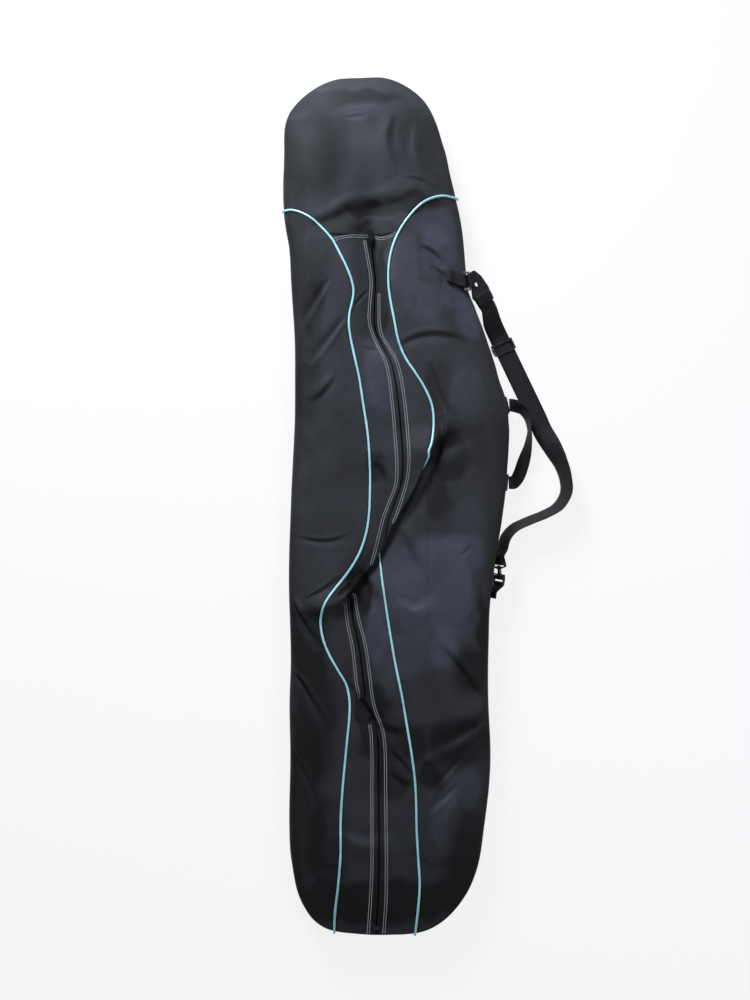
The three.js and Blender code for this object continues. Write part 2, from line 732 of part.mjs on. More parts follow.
// A webbing tab: two layers that part round a ring's bar at the origin, and lie along given
// middles, from the bar to the sewn end
function tabSolid(middles) {
  const outer = loop_radius + strap_thickness;
  const points = [];
  const from = Math.PI * tab_loop_share;
  for (let i = 0; i <= tab_loop_steps; i += 1) {
    const turn = from - (i / tab_loop_steps) * 2 * from;
    points.push(new THREE.Vector2(outer * Math.cos(turn), outer * Math.sin(turn)));
  }
  const below = offsetLine(middles, tab_layers / 2, false);
  const above = offsetLine(middles, -tab_layers / 2, false);
  points.push(...below, ...above.reverse());
  const hole = circleOutline(0, 0, loop_radius, round_sides);
  return plate(points, [hole], -tab_width / 2, tab_width / 2);
}

// Middles of a tab that comes down to a face: how far the face is, along the tab's normal
function tabMiddles(distanceAt, side) {
  const seat = tab_seat + tab_layers / 2;
  return tab_reach_shares.map((share) => {
    const off_face = distanceAt(share * tab_length) - seat;
    const settled = Math.min(1, share / tab_reach_shares[2]);
    return new THREE.Vector2(-share * tab_length, side * off_face * settled);
  });
}

function ringSolid() {
  const half = ring_window / 2 + bar_size;
  const outline = roundedCorners(rectangle(-bar_size / 2, -half, ring_pitch + bar_size / 2, half),
    bar_size / 2, wide_corner_steps);
  const window = rectangle(bar_size / 2, -ring_window / 2, ring_pitch - bar_size / 2, ring_window / 2);
  return plate(outline, [window], -bar_size / 2, bar_size / 2);
}

// Hook jaw seen from the side: a clip round the ring's outer bar, open below for the gate
const jaw_wall = 2.6;
const jaw_depth = 4.2;
const jaw_width = 24;
const jaw_play = 1.2;
const jaw_room = bar_size / 2 + jaw_play;
const gate_thickness = 1.6;

function jawSolid() {
  const left = ring_pitch - jaw_room - jaw_wall;
  const right = ring_pitch + jaw_room + jaw_wall;
  const top = bar_size / 2 + running_clearance + jaw_wall;
  const bottom = -bar_size / 2 - jaw_depth;
  const outline = [
    new THREE.Vector2(left + jaw_wall / 2, top), new THREE.Vector2(left, top - jaw_wall / 2),
    new THREE.Vector2(left, bottom), new THREE.Vector2(left + jaw_wall, bottom),
    new THREE.Vector2(left + jaw_wall, top - jaw_wall), new THREE.Vector2(right - jaw_wall, top - jaw_wall),
    new THREE.Vector2(right - jaw_wall, bottom), new THREE.Vector2(right, bottom),
    new THREE.Vector2(right, top),
  ].reverse();
  return plate(outline, [], -jaw_width / 2, jaw_width / 2);
}

// The jaw is drawn in side view; this turns it so that its width lies along the bar
const sideways = new THREE.Matrix4().makeBasis(
  new THREE.Vector3(1, 0, 0), new THREE.Vector3(0, 0, 1), new THREE.Vector3(0, -1, 0));

const hook_thickness = 4.6;

// Head of the upper hook in its own plane: x away from the bag, y down the strap
const head_left = ring_pitch + jaw_room + jaw_wall / 2;
const head_corner_shares = [
  [0.0, -0.46], [0.22, -0.55], [0.60, -0.27], [0.95, 0.24], [1.08, 0.58], [0.14, 1.05], [-0.04, 0.88],
];
const head_size = 38;
const head_hole_place = new THREE.Vector2(0.27, 0.17);
const head_hole_radius = 0.12;
const head_corner_radius = 0.7;
const slot_edge = 4;
const slot_width = 4.6;

const head_corners = head_corner_shares.map(([x, y]) => new THREE.Vector2(
  head_left + x * head_size, y * head_size));
const strap_edge_start = head_corners[4];
const strap_edge_end = head_corners[5];
const strap_across = strap_edge_start.clone().sub(strap_edge_end).normalize();
const strap_away = new THREE.Vector2(-strap_across.y, strap_across.x);
const strap_edge_middle = strap_edge_start.clone().add(strap_edge_end).multiplyScalar(0.5);

function slotOutline() {
  const half = strap_width / 2 + running_clearance;
  const near = strap_edge_middle.clone().addScaledVector(strap_away, -slot_edge);
  const far = near.clone().addScaledVector(strap_away, -slot_width);
  return [
    near.clone().addScaledVector(strap_across, half), far.clone().addScaledVector(strap_across, half),
    far.clone().addScaledVector(strap_across, -half), near.clone().addScaledVector(strap_across, -half),
  ];
}

const upper_lean = new THREE.Vector3(0.9, 0, -0.42);
const upper_out = upper_lean.clone().addScaledVector(swing, -upper_lean.dot(swing)).normalize();
const upper_normal = new THREE.Vector3().crossVectors(swing, upper_out).negate();

function onUpper(geometry) {
  return placed(geometry, upper_bar, upper_out, swing, upper_normal);
}

function makeUpperFittings() {
  const widths = [-tab_width / 2, 0, tab_width / 2];
  const distanceAt = (back) => Math.min(...widths.map((across) => {
    const p = upper_bar.clone().addScaledVector(upper_out, -back).addScaledVector(swing, across);
    return (p.z - frontHeight(p.x, p.y)) * Math.abs(upper_normal.z);
  }));
  const tab = tabSolid(tabMiddles(distanceAt, 1)).applyMatrix4(sideways);
  addPiece('upper_tab', onUpper(tab), webbing_black, webbing_roughness, 0);
  addPiece('upper_ring', onUpper(ringSolid()), dull_metal, metal_roughness, bare_metalness);
  const hole = circleOutline(head_left + head_size * head_hole_place.x,
    head_size * head_hole_place.y, head_size * head_hole_radius, round_sides);
  const outline = roundedCorners(head_corners, slot_edge * head_corner_radius, wide_corner_steps);
  const head = plate(outline, [hole, slotOutline()], -hook_thickness / 2, hook_thickness / 2);
  const jaw = jawSolid().applyMatrix4(sideways);
  addPiece('upper_hook', onUpper(joined(head, jaw)), moulded_black, moulded_roughness, 0);
  const gate = gateSolid().applyMatrix4(sideways);
  addPiece('upper_hook_gate', onUpper(gate), moulded_black, moulded_roughness, 0);
}

// The gate closes the jaw from below and turns about a line in the jaw's right wall
function gateSolid() {
  const left = ring_pitch - jaw_room + running_clearance / 2;
  const right = ring_pitch + jaw_room - seam_gap;
  const bottom = -bar_size / 2 - jaw_depth + seam_gap;
  return boxOnSide(left, right, bottom, bottom + gate_thickness);
}

function boxOnSide(left, right, bottom, top) {
  return plate(rectangle(left, bottom, right, top), [], -jaw_width / 2 + running_clearance,
    jaw_width / 2 - running_clearance);
}

// Lower fittings lie on edge against the gusset, along the same line
const lower_lean = THREE.MathUtils.degToRad(66);
const lower_out = new THREE.Vector3(Math.cos(lower_lean), 0, Math.sin(lower_lean));
lower_out.addScaledVector(swing, -lower_out.dot(swing)).normalize();
const lower_normal = new THREE.Vector3().crossVectors(lower_out, swing).negate();
const stem_radius = 2.4;
const stem_length = 9;
const eye_wall = 3.2;
const eye_bar_width = 4;
const eye_gap = 6;
const collar_length = 5;
const rivet_rim = 1.4;
const rivet_thickness = 1.1;

// The swivel eye, in a frame with x across the strap, y up the strap and z off its face
function makeLowerEye() {
  const half = strap_width / 2 + running_clearance;
  const y0 = running_clearance;
  const y1 = y0 + collar_length;
  const y2 = y1 + eye_gap;
  const y3 = y2 + eye_bar_width;
  const outline = roundedCorners([
    new THREE.Vector2(-stem_radius - eye_wall, y0), new THREE.Vector2(stem_radius + eye_wall, y0),
    new THREE.Vector2(half + eye_wall, y1), new THREE.Vector2(half + eye_wall, y3),
    new THREE.Vector2(-half - eye_wall, y3), new THREE.Vector2(-half - eye_wall, y1),
  ], eye_wall / 2, corner_steps);
  const window = rectangle(-half, y1, half, y2);
  const frame = plate(outline, [window], -hook_thickness / 2, hook_thickness / 2);
  const bore = stemDisc(stem_radius + running_clearance, -collar_length, y1 + running_clearance);
  const body = cut(frame, bore);
  addPiece('lower_swivel_eye', placed(body, lower_stem, lower_out, swing.clone().negate(), lower_normal),
    moulded_black, moulded_roughness, 0);
}

// A round piece on the swivel's stem, from one place to another along it
function stemDisc(radius, from, to) {
  const disc = new THREE.CylinderGeometry(radius, radius, to - from, round_sides);
  return disc.translate(0, (from + to) / 2, 0);
}

function gussetFace(y) {
  return Math.max(...crossings(silhouette, y, true));
}

// Distance that the gusset's face lies inside the silhouette at a height
function gussetInset(z) {
  const bottom = fabric_thickness + seam_gap;
  const shares = gusset_height_shares.map((height, i) => [height, gusset_inset_shares[i]]);
  return base_inset * tableValue(shares, (z - bottom) / (seam_height - bottom));
}

// The lower ring's bars stand across the strap; its tab is sewn to the gusset
function makeLowerFittings() {
  const foot = lower_stem.clone().addScaledVector(swing, stem_length);
  const far_y = foot.y - tab_length - ring_pitch;
  const down = new THREE.Vector3(gussetFace(far_y) - gussetFace(foot.y), far_y - foot.y, 0).normalize();
  const ring_origin = foot.clone().addScaledVector(down, ring_pitch + jaw_room + jaw_wall);
  const back = down.clone().negate();
  const rise = lower_out.clone().addScaledVector(back, -lower_out.dot(back)).normalize();
  const ring_normal = new THREE.Vector3().crossVectors(back, rise);
  const widths = [-tab_width / 2, 0, tab_width / 2];
  const distanceAt = (length) => Math.min(...widths.map((across) => {
    const p = ring_origin.clone().addScaledVector(down, length).addScaledVector(rise, across);
    return (p.x - gussetFace(p.y) + gussetInset(p.z)) * Math.abs(ring_normal.x);
  }));
  const onRing = (geometry) => placed(geometry, ring_origin, back, rise, ring_normal);
  addPiece('lower_ring', onRing(ringSolid()), dull_metal, metal_roughness, bare_metalness);
  addPiece('lower_tab', onRing(tabSolid(tabMiddles(distanceAt, -1)).applyMatrix4(sideways)),
    webbing_black, webbing_roughness, 0);
  const jaw = onRing(jawSolid().applyMatrix4(sideways));
  const head = collar_length + 2 * running_clearance;
  const swivel = joined(stemDisc(stem_radius, -stem_length, head + rivet_thickness),
    stemDisc(stem_radius + rivet_rim, -stem_length - jaw_wall / 2, 0),
    stemDisc(stem_radius + rivet_rim, head, head + rivet_thickness));
  const stem = placed(swivel, lower_stem, lower_out, swing.clone().negate(), lower_normal);
  addPiece('lower_hook', joined(jaw, stem), moulded_black, moulded_roughness, 0);
  const gate = gateSolid().applyMatrix4(sideways);
  addPiece('lower_hook_gate', onRing(gate), moulded_black, moulded_roughness, 0);
}

// Webbing: flat bands given by their middle line, the side that faces out and their roll

// Route of the shoulder strap on the floor: place as shares of half the width and half the
// length, then the band's roll from flat, in degrees
const strap_route_shares = [
  [0.906, 0.414, 0], [1.002, 0.3786, 0], [1.332, 0.182, 0],
  [1.386, 0.145, 8], [1.459, 0.105, 34], [1.523, 0.066, 58], [1.560, 0.030, 66],
  [1.562, -0.004, 66], [1.490, -0.036, 66], [1.373, -0.054, 66], [1.218, -0.070, 66],
  [1.090, -0.086, 66], [1.015, -0.108, 66], [0.982, -0.134, 66],
];

// The straight stretch between the second and third places has these points along it
const straight_shares = [0.05, 0.25, 0.5, 0.75, 0.95];

function bandSolid(stations, width, thickness) {
  const loops = stations.map(({ middle, across, along }) => {
    const normal = new THREE.Vector3().crossVectors(across, along).normalize();
    const corner = (a, t) => middle.clone().addScaledVector(across, (a * width) / 2)
      .addScaledVector(normal, (t * thickness) / 2);
    return [corner(1, 1), corner(-1, 1), corner(-1, -1), corner(1, -1)];
  });
  return sweptSolid(loops, false);
}

// Stations of a band through given middles, with the widths turned smoothly from one to the next
function bandStations(middles, acrosses, count) {
  const path = new THREE.CatmullRomCurve3(middles, false, 'centripetal');
  const stations = [];
  for (let i = 0; i <= count; i += 1) {
    const at = i / count;
    const place = at * (acrosses.length - 1);
    const low = Math.min(Math.floor(place), acrosses.length - 2);
    const along = path.getTangent(at);
    const across = acrosses[low].clone().lerp(acrosses[low + 1], place - low);
    across.addScaledVector(along, -across.dot(along)).normalize();
    stations.push({ middle: path.getPoint(at), across, along });
  }
  return stations;
}

const strap_floor = 4.6;
const strap_lead_height = 18.4;
const stations_per_span = 3;

// The sewn-back ends: how far beyond the slot or bar, in bar widths, and how far off the plate,
// as shares of the way out to a layer of webbing
const slot_wrap_shares = [
  [3.2, -0.7], [1.0, -1], [-1.2, -0.9], [-1.52, 0], [-1.2, 0.9], [0.3, 1], [3.0, 0.75],
  [6.0, 0.5],
];
const eye_wrap_shares = [
  [2.8, -0.8], [1.2, -1], [-0.6, -0.95], [-1.12, 0], [-0.6, 0.95], [0.8, 1], [2.2, 0.75],
];

function makeStrap() {
  const layer = hook_thickness / 2 + seam_gap + strap_thickness / 2;
  const across_plate = new THREE.Vector3(strap_across.x, strap_across.y, 0);
  const toWorld = new THREE.Matrix4().makeBasis(upper_out, swing, upper_normal).setPosition(upper_bar);
  const turn = new THREE.Matrix4().extractRotation(toWorld);
  const wrap_across = across_plate.applyMatrix4(turn);
  const middles = slot_wrap_shares.map(([s, w]) => new THREE.Vector3(
    strap_edge_middle.x + strap_away.x * s * slot_edge,
    strap_edge_middle.y + strap_away.y * s * slot_edge, w * layer).applyMatrix4(toWorld));
  const acrosses = middles.map(() => wrap_across);
  const route = strap_route_shares.slice(0, 2);
  const [, start, end] = strap_route_shares;
  straight_shares.forEach((t) => route.push(start.map((value, k) => value + (end[k] - value) * t)));
  route.push(...strap_route_shares.slice(2));
  const plan = route.map(([x, y]) => new THREE.Vector3(x * half_width, y * half_length, 0));
  route.forEach(([, , roll], i) => {
    const before = plan[Math.max(i - 1, 0)];
    const after = plan[Math.min(i + 1, plan.length - 1)];
    const along = after.clone().sub(before).normalize();
    const out = new THREE.Vector3(-along.y, along.x, 0);
    const angle = THREE.MathUtils.degToRad(roll);
    const across = out.multiplyScalar(Math.cos(angle)).addScaledVector(up, Math.sin(angle));
    const lift = i === 0 ? strap_lead_height : strap_floor;
    middles.push(plan[i].clone().setZ(Math.max(lift,
      floor_clearance + strap_thickness + (strap_width / 2) * Math.sin(angle))));
    acrosses.push(across);
  });
  const bar = running_clearance + collar_length + eye_gap + eye_bar_width / 2;
  const eye_place = (s, w) => lower_stem.clone()
    .addScaledVector(swing, -(bar + s * eye_bar_width)).addScaledVector(lower_normal, w * layer);
  eye_wrap_shares.forEach(([s, w]) => {
    middles.push(eye_place(s, w));
    acrosses.push(lower_out.clone());
  });
  const stations = bandStations(middles, acrosses, stations_per_span * (middles.length - 1));
  const band = bandSolid(stations, strap_width, strap_thickness);
  addPiece('shoulder_strap', band, webbing_black, webbing_roughness, 0);
}

const adjuster_length = 24;
const adjuster_wall = 3.2;
const adjuster_bar = 4;
const adjuster_corner = 2.4;
const adjuster_start = 26;
const adjuster_plate = 2.2;

// Three bar adjuster: outer bars over the strap, middle bar under it
function makeAdjuster() {
  const [from, to] = planPoints([strap_route_shares[1], strap_route_shares[2]]);
  const run = to.clone().sub(from).normalize();
  const along = new THREE.Vector3(run.x, run.y, 0);
  const across = new THREE.Vector3(-run.y, run.x, 0);
  const half = strap_width / 2 + running_clearance;
  const half_run = adjuster_length / 2;
  const top_low = strap_thickness / 2 + running_clearance;
  const top_high = top_low + adjuster_plate;
  const low_high = -strap_thickness / 2 - running_clearance;
  const low_low = low_high - adjuster_plate;
  const outer = half + adjuster_wall;
  const outline = roundedCorners(rectangle(-half_run, -outer, half_run, outer), adjuster_corner,
    wide_corner_steps);
  const window = rectangle(-half_run + adjuster_bar, -half, half_run - adjuster_bar, half);
  const frame = plate(outline, [window], top_low, top_high);
  const rails = [-1, 1].map((side) => boxBetween(
    new THREE.Vector3(-half_run / 2, Math.min(side * half, side * (half + adjuster_wall)), low_low),
    new THREE.Vector3(half_run / 2, Math.max(side * half, side * (half + adjuster_wall)), top_high)));
  const middle = boxBetween(new THREE.Vector3(-adjuster_bar / 2, -half - adjuster_wall, low_low),
    new THREE.Vector3(adjuster_bar / 2, half + adjuster_wall, low_high));
  const body = joined(frame, ...rails, middle);
  const origin = new THREE.Vector3(from.x, from.y, strap_floor).addScaledVector(along, adjuster_start);
  addPiece('strap_adjuster', placed(body, origin, along, across, up), moulded_black, moulded_roughness, 0);
}

// Patches sewn on the gusset, where the ends of the handle leave it
const patch_height = 16;
const patch_length = 32;
const patch_thickness = 1.6;
const handle_hinge_gap = 0.95;
const patch_spans = 6;
const handle_upper_share = 0.205;
const handle_lower_share = 0.021;
const handle_end_height = 26;

// The handle's end stands clear of the patch over its whole width
function handleEnd(share) {
  const y = share * half_length;
  const faces = [y - handle_width / 2, y, y + handle_width / 2].map(gussetFace);
  const off_gusset = seam_gap + patch_thickness + handle_hinge_gap;
  return new THREE.Vector3(Math.max(...faces) + off_gusset, y, handle_end_height);
}

// Carry handle between its ends: place, height of its middle as a share of its width, roll
const handle_route_shares = [
  [1.104, 0.205, 0.92, 6], [1.145, 0.197, 0.62, 40],
  [1.190, 0.176, 0.56, 76], [1.222, 0.152, 0.56, 84], [1.238, 0.128, 0.56, 84],
  [1.228, 0.100, 0.48, 62], [1.195, 0.070, 0.30, 26], [1.150, 0.044, 0.30, 8],
  [1.104, 0.025, 0.66, 0],
];

function makeHandle() {
  const [upper, lower] = [handle_upper_share, handle_lower_share].map(handleEnd);
  const hinge = upper.clone().sub(lower).normalize();
  const middles = handle_route_shares.map(
    ([x, y, z]) => new THREE.Vector3(x * half_width, y * half_length, z * handle_width));
  const acrosses = handle_route_shares.map(([, , , roll], i) => {
    const before = middles[Math.max(i - 1, 0)];
    const after = middles[Math.min(i + 1, middles.length - 1)];
    const out = new THREE.Vector3(before.y - after.y, after.x - before.x, 0).normalize();
    const angle = THREE.MathUtils.degToRad(roll);
    return out.multiplyScalar(Math.cos(angle)).addScaledVector(up, Math.sin(angle));
  });
  middles.unshift(upper, upper.clone().setX(upper.x + handle_thickness));
  acrosses.unshift(hinge, hinge);
  middles.push(lower.clone().setX(lower.x + handle_thickness), lower);
  acrosses.push(hinge, hinge);
  const stations = bandStations(middles, acrosses, stations_per_span * (middles.length - 1));
  const band = bandSolid(stations, handle_width, handle_thickness);
  addPiece('carry_handle', band, webbing_black, webbing_roughness, 0);
}

function makePatch(name, share) {
  const middle = share * half_length;
  const low = handle_end_height - patch_height / 2;
  const high = handle_end_height + patch_height / 2;
  const loops = [];
  for (let i = 0; i <= patch_spans; i += 1) {
    const y = middle + patch_length * (i / patch_spans - 1 / 2);
    const inner = gussetFace(y) + seam_gap;
    const outer = inner + patch_thickness;
    loops.push([
      new THREE.Vector3(inner, y, low), new THREE.Vector3(outer, y, low),
      new THREE.Vector3(outer, y, high), new THREE.Vector3(inner, y, high),
    ]);
  }
  addPiece(name, sweptSolid(loops, false), webbing_black, webbing_roughness, 0);
}

makeBackPanel();
makeGusset();
makeNosePanel();
makeSidePanel('left_side_panel', left_of_left_piping, Math.min);
makeSidePanel('right_side_panel', right_of_right_piping, Math.max);
makeZipPanel('left_zip_panel', right_of_left_piping, left_of_zip);
makeZipPanel('right_zip_panel', right_of_zip, left_of_right_piping);
makePiping('left_piping', left_piping_line);
makePiping('right_piping', right_piping_line);
makeZipHalf('left', -1);
makeZipHalf('right', 1);
makeSlider();
makePull();
makeBottomStop();
makeUpperFittings();
makeLowerFittings();
makeLowerEye();
makeStrap();
makeAdjuster();
makeHandle();
makePatch('handle_patch_upper', handle_upper_share);
makePatch('handle_patch_lower', handle_lower_share);

export default bag;
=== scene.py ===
import sys
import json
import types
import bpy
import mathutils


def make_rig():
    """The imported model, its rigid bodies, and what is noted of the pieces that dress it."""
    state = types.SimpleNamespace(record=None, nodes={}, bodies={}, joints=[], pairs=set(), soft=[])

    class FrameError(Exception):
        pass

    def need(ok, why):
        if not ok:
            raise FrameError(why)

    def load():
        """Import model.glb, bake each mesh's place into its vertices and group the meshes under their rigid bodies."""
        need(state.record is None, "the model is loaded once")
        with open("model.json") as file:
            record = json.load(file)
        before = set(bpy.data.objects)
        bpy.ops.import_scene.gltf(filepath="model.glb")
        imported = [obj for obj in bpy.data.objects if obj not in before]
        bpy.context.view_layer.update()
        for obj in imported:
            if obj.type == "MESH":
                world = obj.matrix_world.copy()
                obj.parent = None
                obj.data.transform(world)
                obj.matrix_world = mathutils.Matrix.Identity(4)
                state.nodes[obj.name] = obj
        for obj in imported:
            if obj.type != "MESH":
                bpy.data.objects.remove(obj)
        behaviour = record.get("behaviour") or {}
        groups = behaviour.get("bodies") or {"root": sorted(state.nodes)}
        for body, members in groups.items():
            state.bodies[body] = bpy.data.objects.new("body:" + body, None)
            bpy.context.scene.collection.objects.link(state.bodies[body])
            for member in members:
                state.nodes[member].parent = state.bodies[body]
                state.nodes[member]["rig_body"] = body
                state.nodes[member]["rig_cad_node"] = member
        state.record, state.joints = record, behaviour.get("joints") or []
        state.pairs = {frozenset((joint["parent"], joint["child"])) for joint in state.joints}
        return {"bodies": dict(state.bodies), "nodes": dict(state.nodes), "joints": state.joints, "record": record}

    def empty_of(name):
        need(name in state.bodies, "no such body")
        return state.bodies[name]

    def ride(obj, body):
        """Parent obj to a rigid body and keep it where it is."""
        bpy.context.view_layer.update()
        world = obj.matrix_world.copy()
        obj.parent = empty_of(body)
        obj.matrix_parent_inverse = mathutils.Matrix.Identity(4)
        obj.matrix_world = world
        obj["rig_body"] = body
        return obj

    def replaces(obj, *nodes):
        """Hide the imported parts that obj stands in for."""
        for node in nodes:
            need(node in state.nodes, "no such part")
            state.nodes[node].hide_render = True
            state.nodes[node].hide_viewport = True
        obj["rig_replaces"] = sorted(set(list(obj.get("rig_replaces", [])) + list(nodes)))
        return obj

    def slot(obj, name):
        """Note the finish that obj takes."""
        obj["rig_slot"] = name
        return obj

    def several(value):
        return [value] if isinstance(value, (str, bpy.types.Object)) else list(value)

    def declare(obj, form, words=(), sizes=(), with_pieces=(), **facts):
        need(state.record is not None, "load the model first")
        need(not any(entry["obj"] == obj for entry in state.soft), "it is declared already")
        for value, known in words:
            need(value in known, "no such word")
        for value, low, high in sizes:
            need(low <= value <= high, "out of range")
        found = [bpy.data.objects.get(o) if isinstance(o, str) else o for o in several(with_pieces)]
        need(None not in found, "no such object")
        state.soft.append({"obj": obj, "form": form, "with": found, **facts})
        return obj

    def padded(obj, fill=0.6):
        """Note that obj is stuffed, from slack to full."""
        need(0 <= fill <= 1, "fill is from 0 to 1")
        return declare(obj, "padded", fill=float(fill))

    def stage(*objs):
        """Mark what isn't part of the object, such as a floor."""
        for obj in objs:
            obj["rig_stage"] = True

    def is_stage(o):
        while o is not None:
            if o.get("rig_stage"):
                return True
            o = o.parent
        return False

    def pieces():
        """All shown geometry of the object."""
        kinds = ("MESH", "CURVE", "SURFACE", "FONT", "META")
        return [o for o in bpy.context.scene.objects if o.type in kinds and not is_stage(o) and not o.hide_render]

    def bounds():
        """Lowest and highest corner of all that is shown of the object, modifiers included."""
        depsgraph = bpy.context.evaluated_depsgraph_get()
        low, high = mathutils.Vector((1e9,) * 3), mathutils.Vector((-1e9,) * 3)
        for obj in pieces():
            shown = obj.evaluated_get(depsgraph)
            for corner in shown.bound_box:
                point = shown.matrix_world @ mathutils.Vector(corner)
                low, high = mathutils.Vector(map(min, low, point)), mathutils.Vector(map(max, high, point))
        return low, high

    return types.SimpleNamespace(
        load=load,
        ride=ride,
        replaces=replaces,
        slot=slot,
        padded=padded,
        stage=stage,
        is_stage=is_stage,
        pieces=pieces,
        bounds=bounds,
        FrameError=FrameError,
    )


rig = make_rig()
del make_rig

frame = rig.load()

import json
import math
from functools import lru_cache

import bmesh
import bpy
import numpy as np
from bpy.props import FloatProperty, FloatVectorProperty, PointerProperty
from mathutils import Matrix, Vector

# Cloth, zip, webbing and fittings of a soft snowboard bag that lies on its back panel.
# Shapes are worked out in millimetres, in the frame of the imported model, and made in metres.

bl_info = {
    "name": "Snowboard bag",
    "version": (1, 0, 0),
    "blender": (4, 5, 0),
    "location": "View3D > Sidebar > Bag",
    "description": "Cloth, zip, webbing and fittings of a soft snowboard bag",
    "category": "Object",
}

CAD_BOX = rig.bounds()

# Sizes that the cloth shares with the model, in millimetres
HALF_LENGTH = 825.0
HALF_WIDTH = 220.0
CROWN_HEIGHT = 84.0
SEAM_HEIGHT = 46.0
RIM_HEIGHT = 48.8
RIM_INSET = 5.0
BASE_INSET = 14.0
DOME_REACH = 90.0
DOME_POWER = 2.2
VALLEY_DEPTH = 14.0
VALLEY_REACH = 27.0
STRAP_WIDTH = 38.0
STRAP_THICKNESS = 1.8
HANDLE_WIDTH = 25.0
HANDLE_THICKNESS = 1.8
HOOK_THICKNESS = 4.6
STRAP_FLOOR = 4.6
BAR_SIZE = 3.4
TAB_WIDTH = 27.0
TAB_LENGTH = 29.0
TAB_LEAN = 0.42
PANEL_THICKNESS = 1.6
WALL_FOOT = 2.8

# Places along the bag, in millimetres from its middle
TOP_SEAM_Y = 0.598 * HALF_LENGTH
SLIDER_START = 483.7
SLIDER_END = 333.7
PARTING = (294, 320)     # Over this stretch the zip's flaps part, to let the slider through
PIPING_TOPS = {"left": 0.671 * HALF_LENGTH, "right": 0.695 * HALF_LENGTH}
HANDLE_ENDS = {"upper": 0.205 * HALF_LENGTH, "lower": 0.021 * HALF_LENGTH}

# Room beside the piping, and how far and how deep the edge of a cloth turns down
PIPING_ROOM = 0.4
EDGE_REACH = 2.6
EDGE_DROP = 1.5

# Height of the middle of the handle's ends and of their patches
HANDLE_HEIGHT = 26.0

# Lines of the bag seen from above, in thousandths of half its width and half its length
SILHOUETTE = [
    (-194, 1000), (-4, 1000), (111, 992), (237, 974), (347, 950), (426, 922), (485, 887),
    (544, 831), (590, 775), (640, 705), (690, 627), (717, 527), (731, 483), (789, 439),
    (848, 393), (905, 344), (946, 308), (987, 265), (1036, 224), (1062, 186), (1063, 145),
    (1050, 85), (1030, 20), (975, -74), (939, -125), (897, -195), (857, -262), (835, -350),
    (820, -483), (827, -600), (807, -676), (761, -760), (705, -844), (632, -896), (500, -945),
    (364, -976), (199, -995), (-87, -1000), (-335, -997), (-600, -985), (-739, -960),
    (-818, -928), (-872, -889), (-911, -825), (-922, -747), (-907, -602), (-909, -482),
    (-894, -376), (-905, -210), (-889, -75), (-867, 31), (-840, 147), (-831, 250), (-831, 367),
    (-853, 490), (-868, 588), (-900, 636), (-912, 685), (-914, 738), (-906, 790), (-902, 833),
    (-897, 870), (-882, 897), (-840, 920), (-733, 952), (-604, 977), (-504, 990), (-398, 998),
]
LEFT_PIPING = [
    (-897, 672), (-827, 669), (-731, 657), (-632, 638), (-548, 615), (-462, 586), (-403, 555),
    (-343, 521), (-300, 488), (-288, 466), (-302, 440), (-325, 415), (-332, 386), (-317, 353),
    (-283, 306), (-250, 262), (-223, 208), (-185, 131), (-172, 55), (-176, -5), (-187, -51),
    (-212, -90), (-262, -130), (-330, -163), (-412, -193), (-490, -218), (-567, -247),
    (-609, -282), (-603, -316), (-560, -354), (-473, -399), (-409, -430), (-380, -465),
    (-382, -505), (-402, -553), (-426, -610), (-448, -665), (-467, -733), (-472, -802),
    (-496, -872), (-530, -941), (-540, -985),
]
RIGHT_PIPING_UPPER = [
    (680, 696.5), (600, 695), (517, 693), (404, 682), (306, 666), (216, 642), (134, 613),
    (78, 584), (39, 552), (19, 517), (18, 473), (36, 434), (59, 398), (90, 351), (144, 311),
    (230, 273), (299, 242), (365, 200), (379, 161), (362, 119), (330, 85),
]
RIGHT_PIPING_LOWER = [
    (-104, -142), (-87, -194), (-59, -253), (-24, -322), (17, -392), (64, -459), (103, -528),
    (137, -590), (160, -648), (166, -701), (166, -754), (176, -823), (183, -875), (168, -927),
    (138, -999),
]
LEFT_ROWS_UPPER = [
    (-186, 600), (-147, 534), (-128, 494), (-140, 451), (-148, 402), (-130, 371), (-85, 338),
    (-27, 305), (4, 270), (22, 225), (35, 186), (51, 112), (58, 54), (44, 15), (-8, -20),
    (-65, -58), (-106, -98), (-147, -139), (-178, -165),
]
LEFT_ROWS_LOWER = [
    (-405, -252), (-387, -297), (-350, -345), (-329, -400), (-313, -441), (-276, -480),
    (-212, -527), (-198, -578), (-203, -668), (-207, -750), (-213, -838), (-230, -908),
    (-258, -999),
]
RIGHT_ROWS_UPPER = [
    (-81, 600), (-72, 534), (-68, 484), (-78, 435), (-84, 395), (-53, 365), (11, 334), (70, 305),
    (106, 268), (130, 220), (144, 185), (159, 111), (161, 67), (138, 23), (92, -18), (50, -50),
    (21, -70),
]
RIGHT_ROWS_LOWER = [
    (-325, -231), (-291, -287), (-238, -346), (-208, -408), (-188, -459), (-162, -493),
    (-115, -527), (-89, -565), (-87, -669), (-89, -740), (-91, -821), (-100, -908), (-126, -999),
]
ZIP_MIDDLE = [
    (-127, 589), (-118, 490), (-109, 391), (-88, 365), (-37, 336), (18, 305), (55, 269),
    (76, 220), (90, 180), (105, 112), (108, 58), (88, 16), (41, -20), (-8, -54), (-60, -92),
    (-130, -130), (-225, -168), (-320, -205), (-362, -245), (-342, -292), (-297, -345),
    (-267, -404), (-250, -450), (-215, -489), (-168, -527), (-145, -575), (-143, -669),
    (-148, -760), (-155, -850), (-167, -908), (-185, -974),
]
FOLD_EDGE = [
    (520, 200), (435, 141), (327, 81), (255, 36), (196, 2), (122, -30), (38, -64), (-20, -96),
    (-90, -133), (-169, -165), (-256, -191), (-330, -217), (-390, -235), (-463, -250),
    (-531, -260), (-600, -275),
]
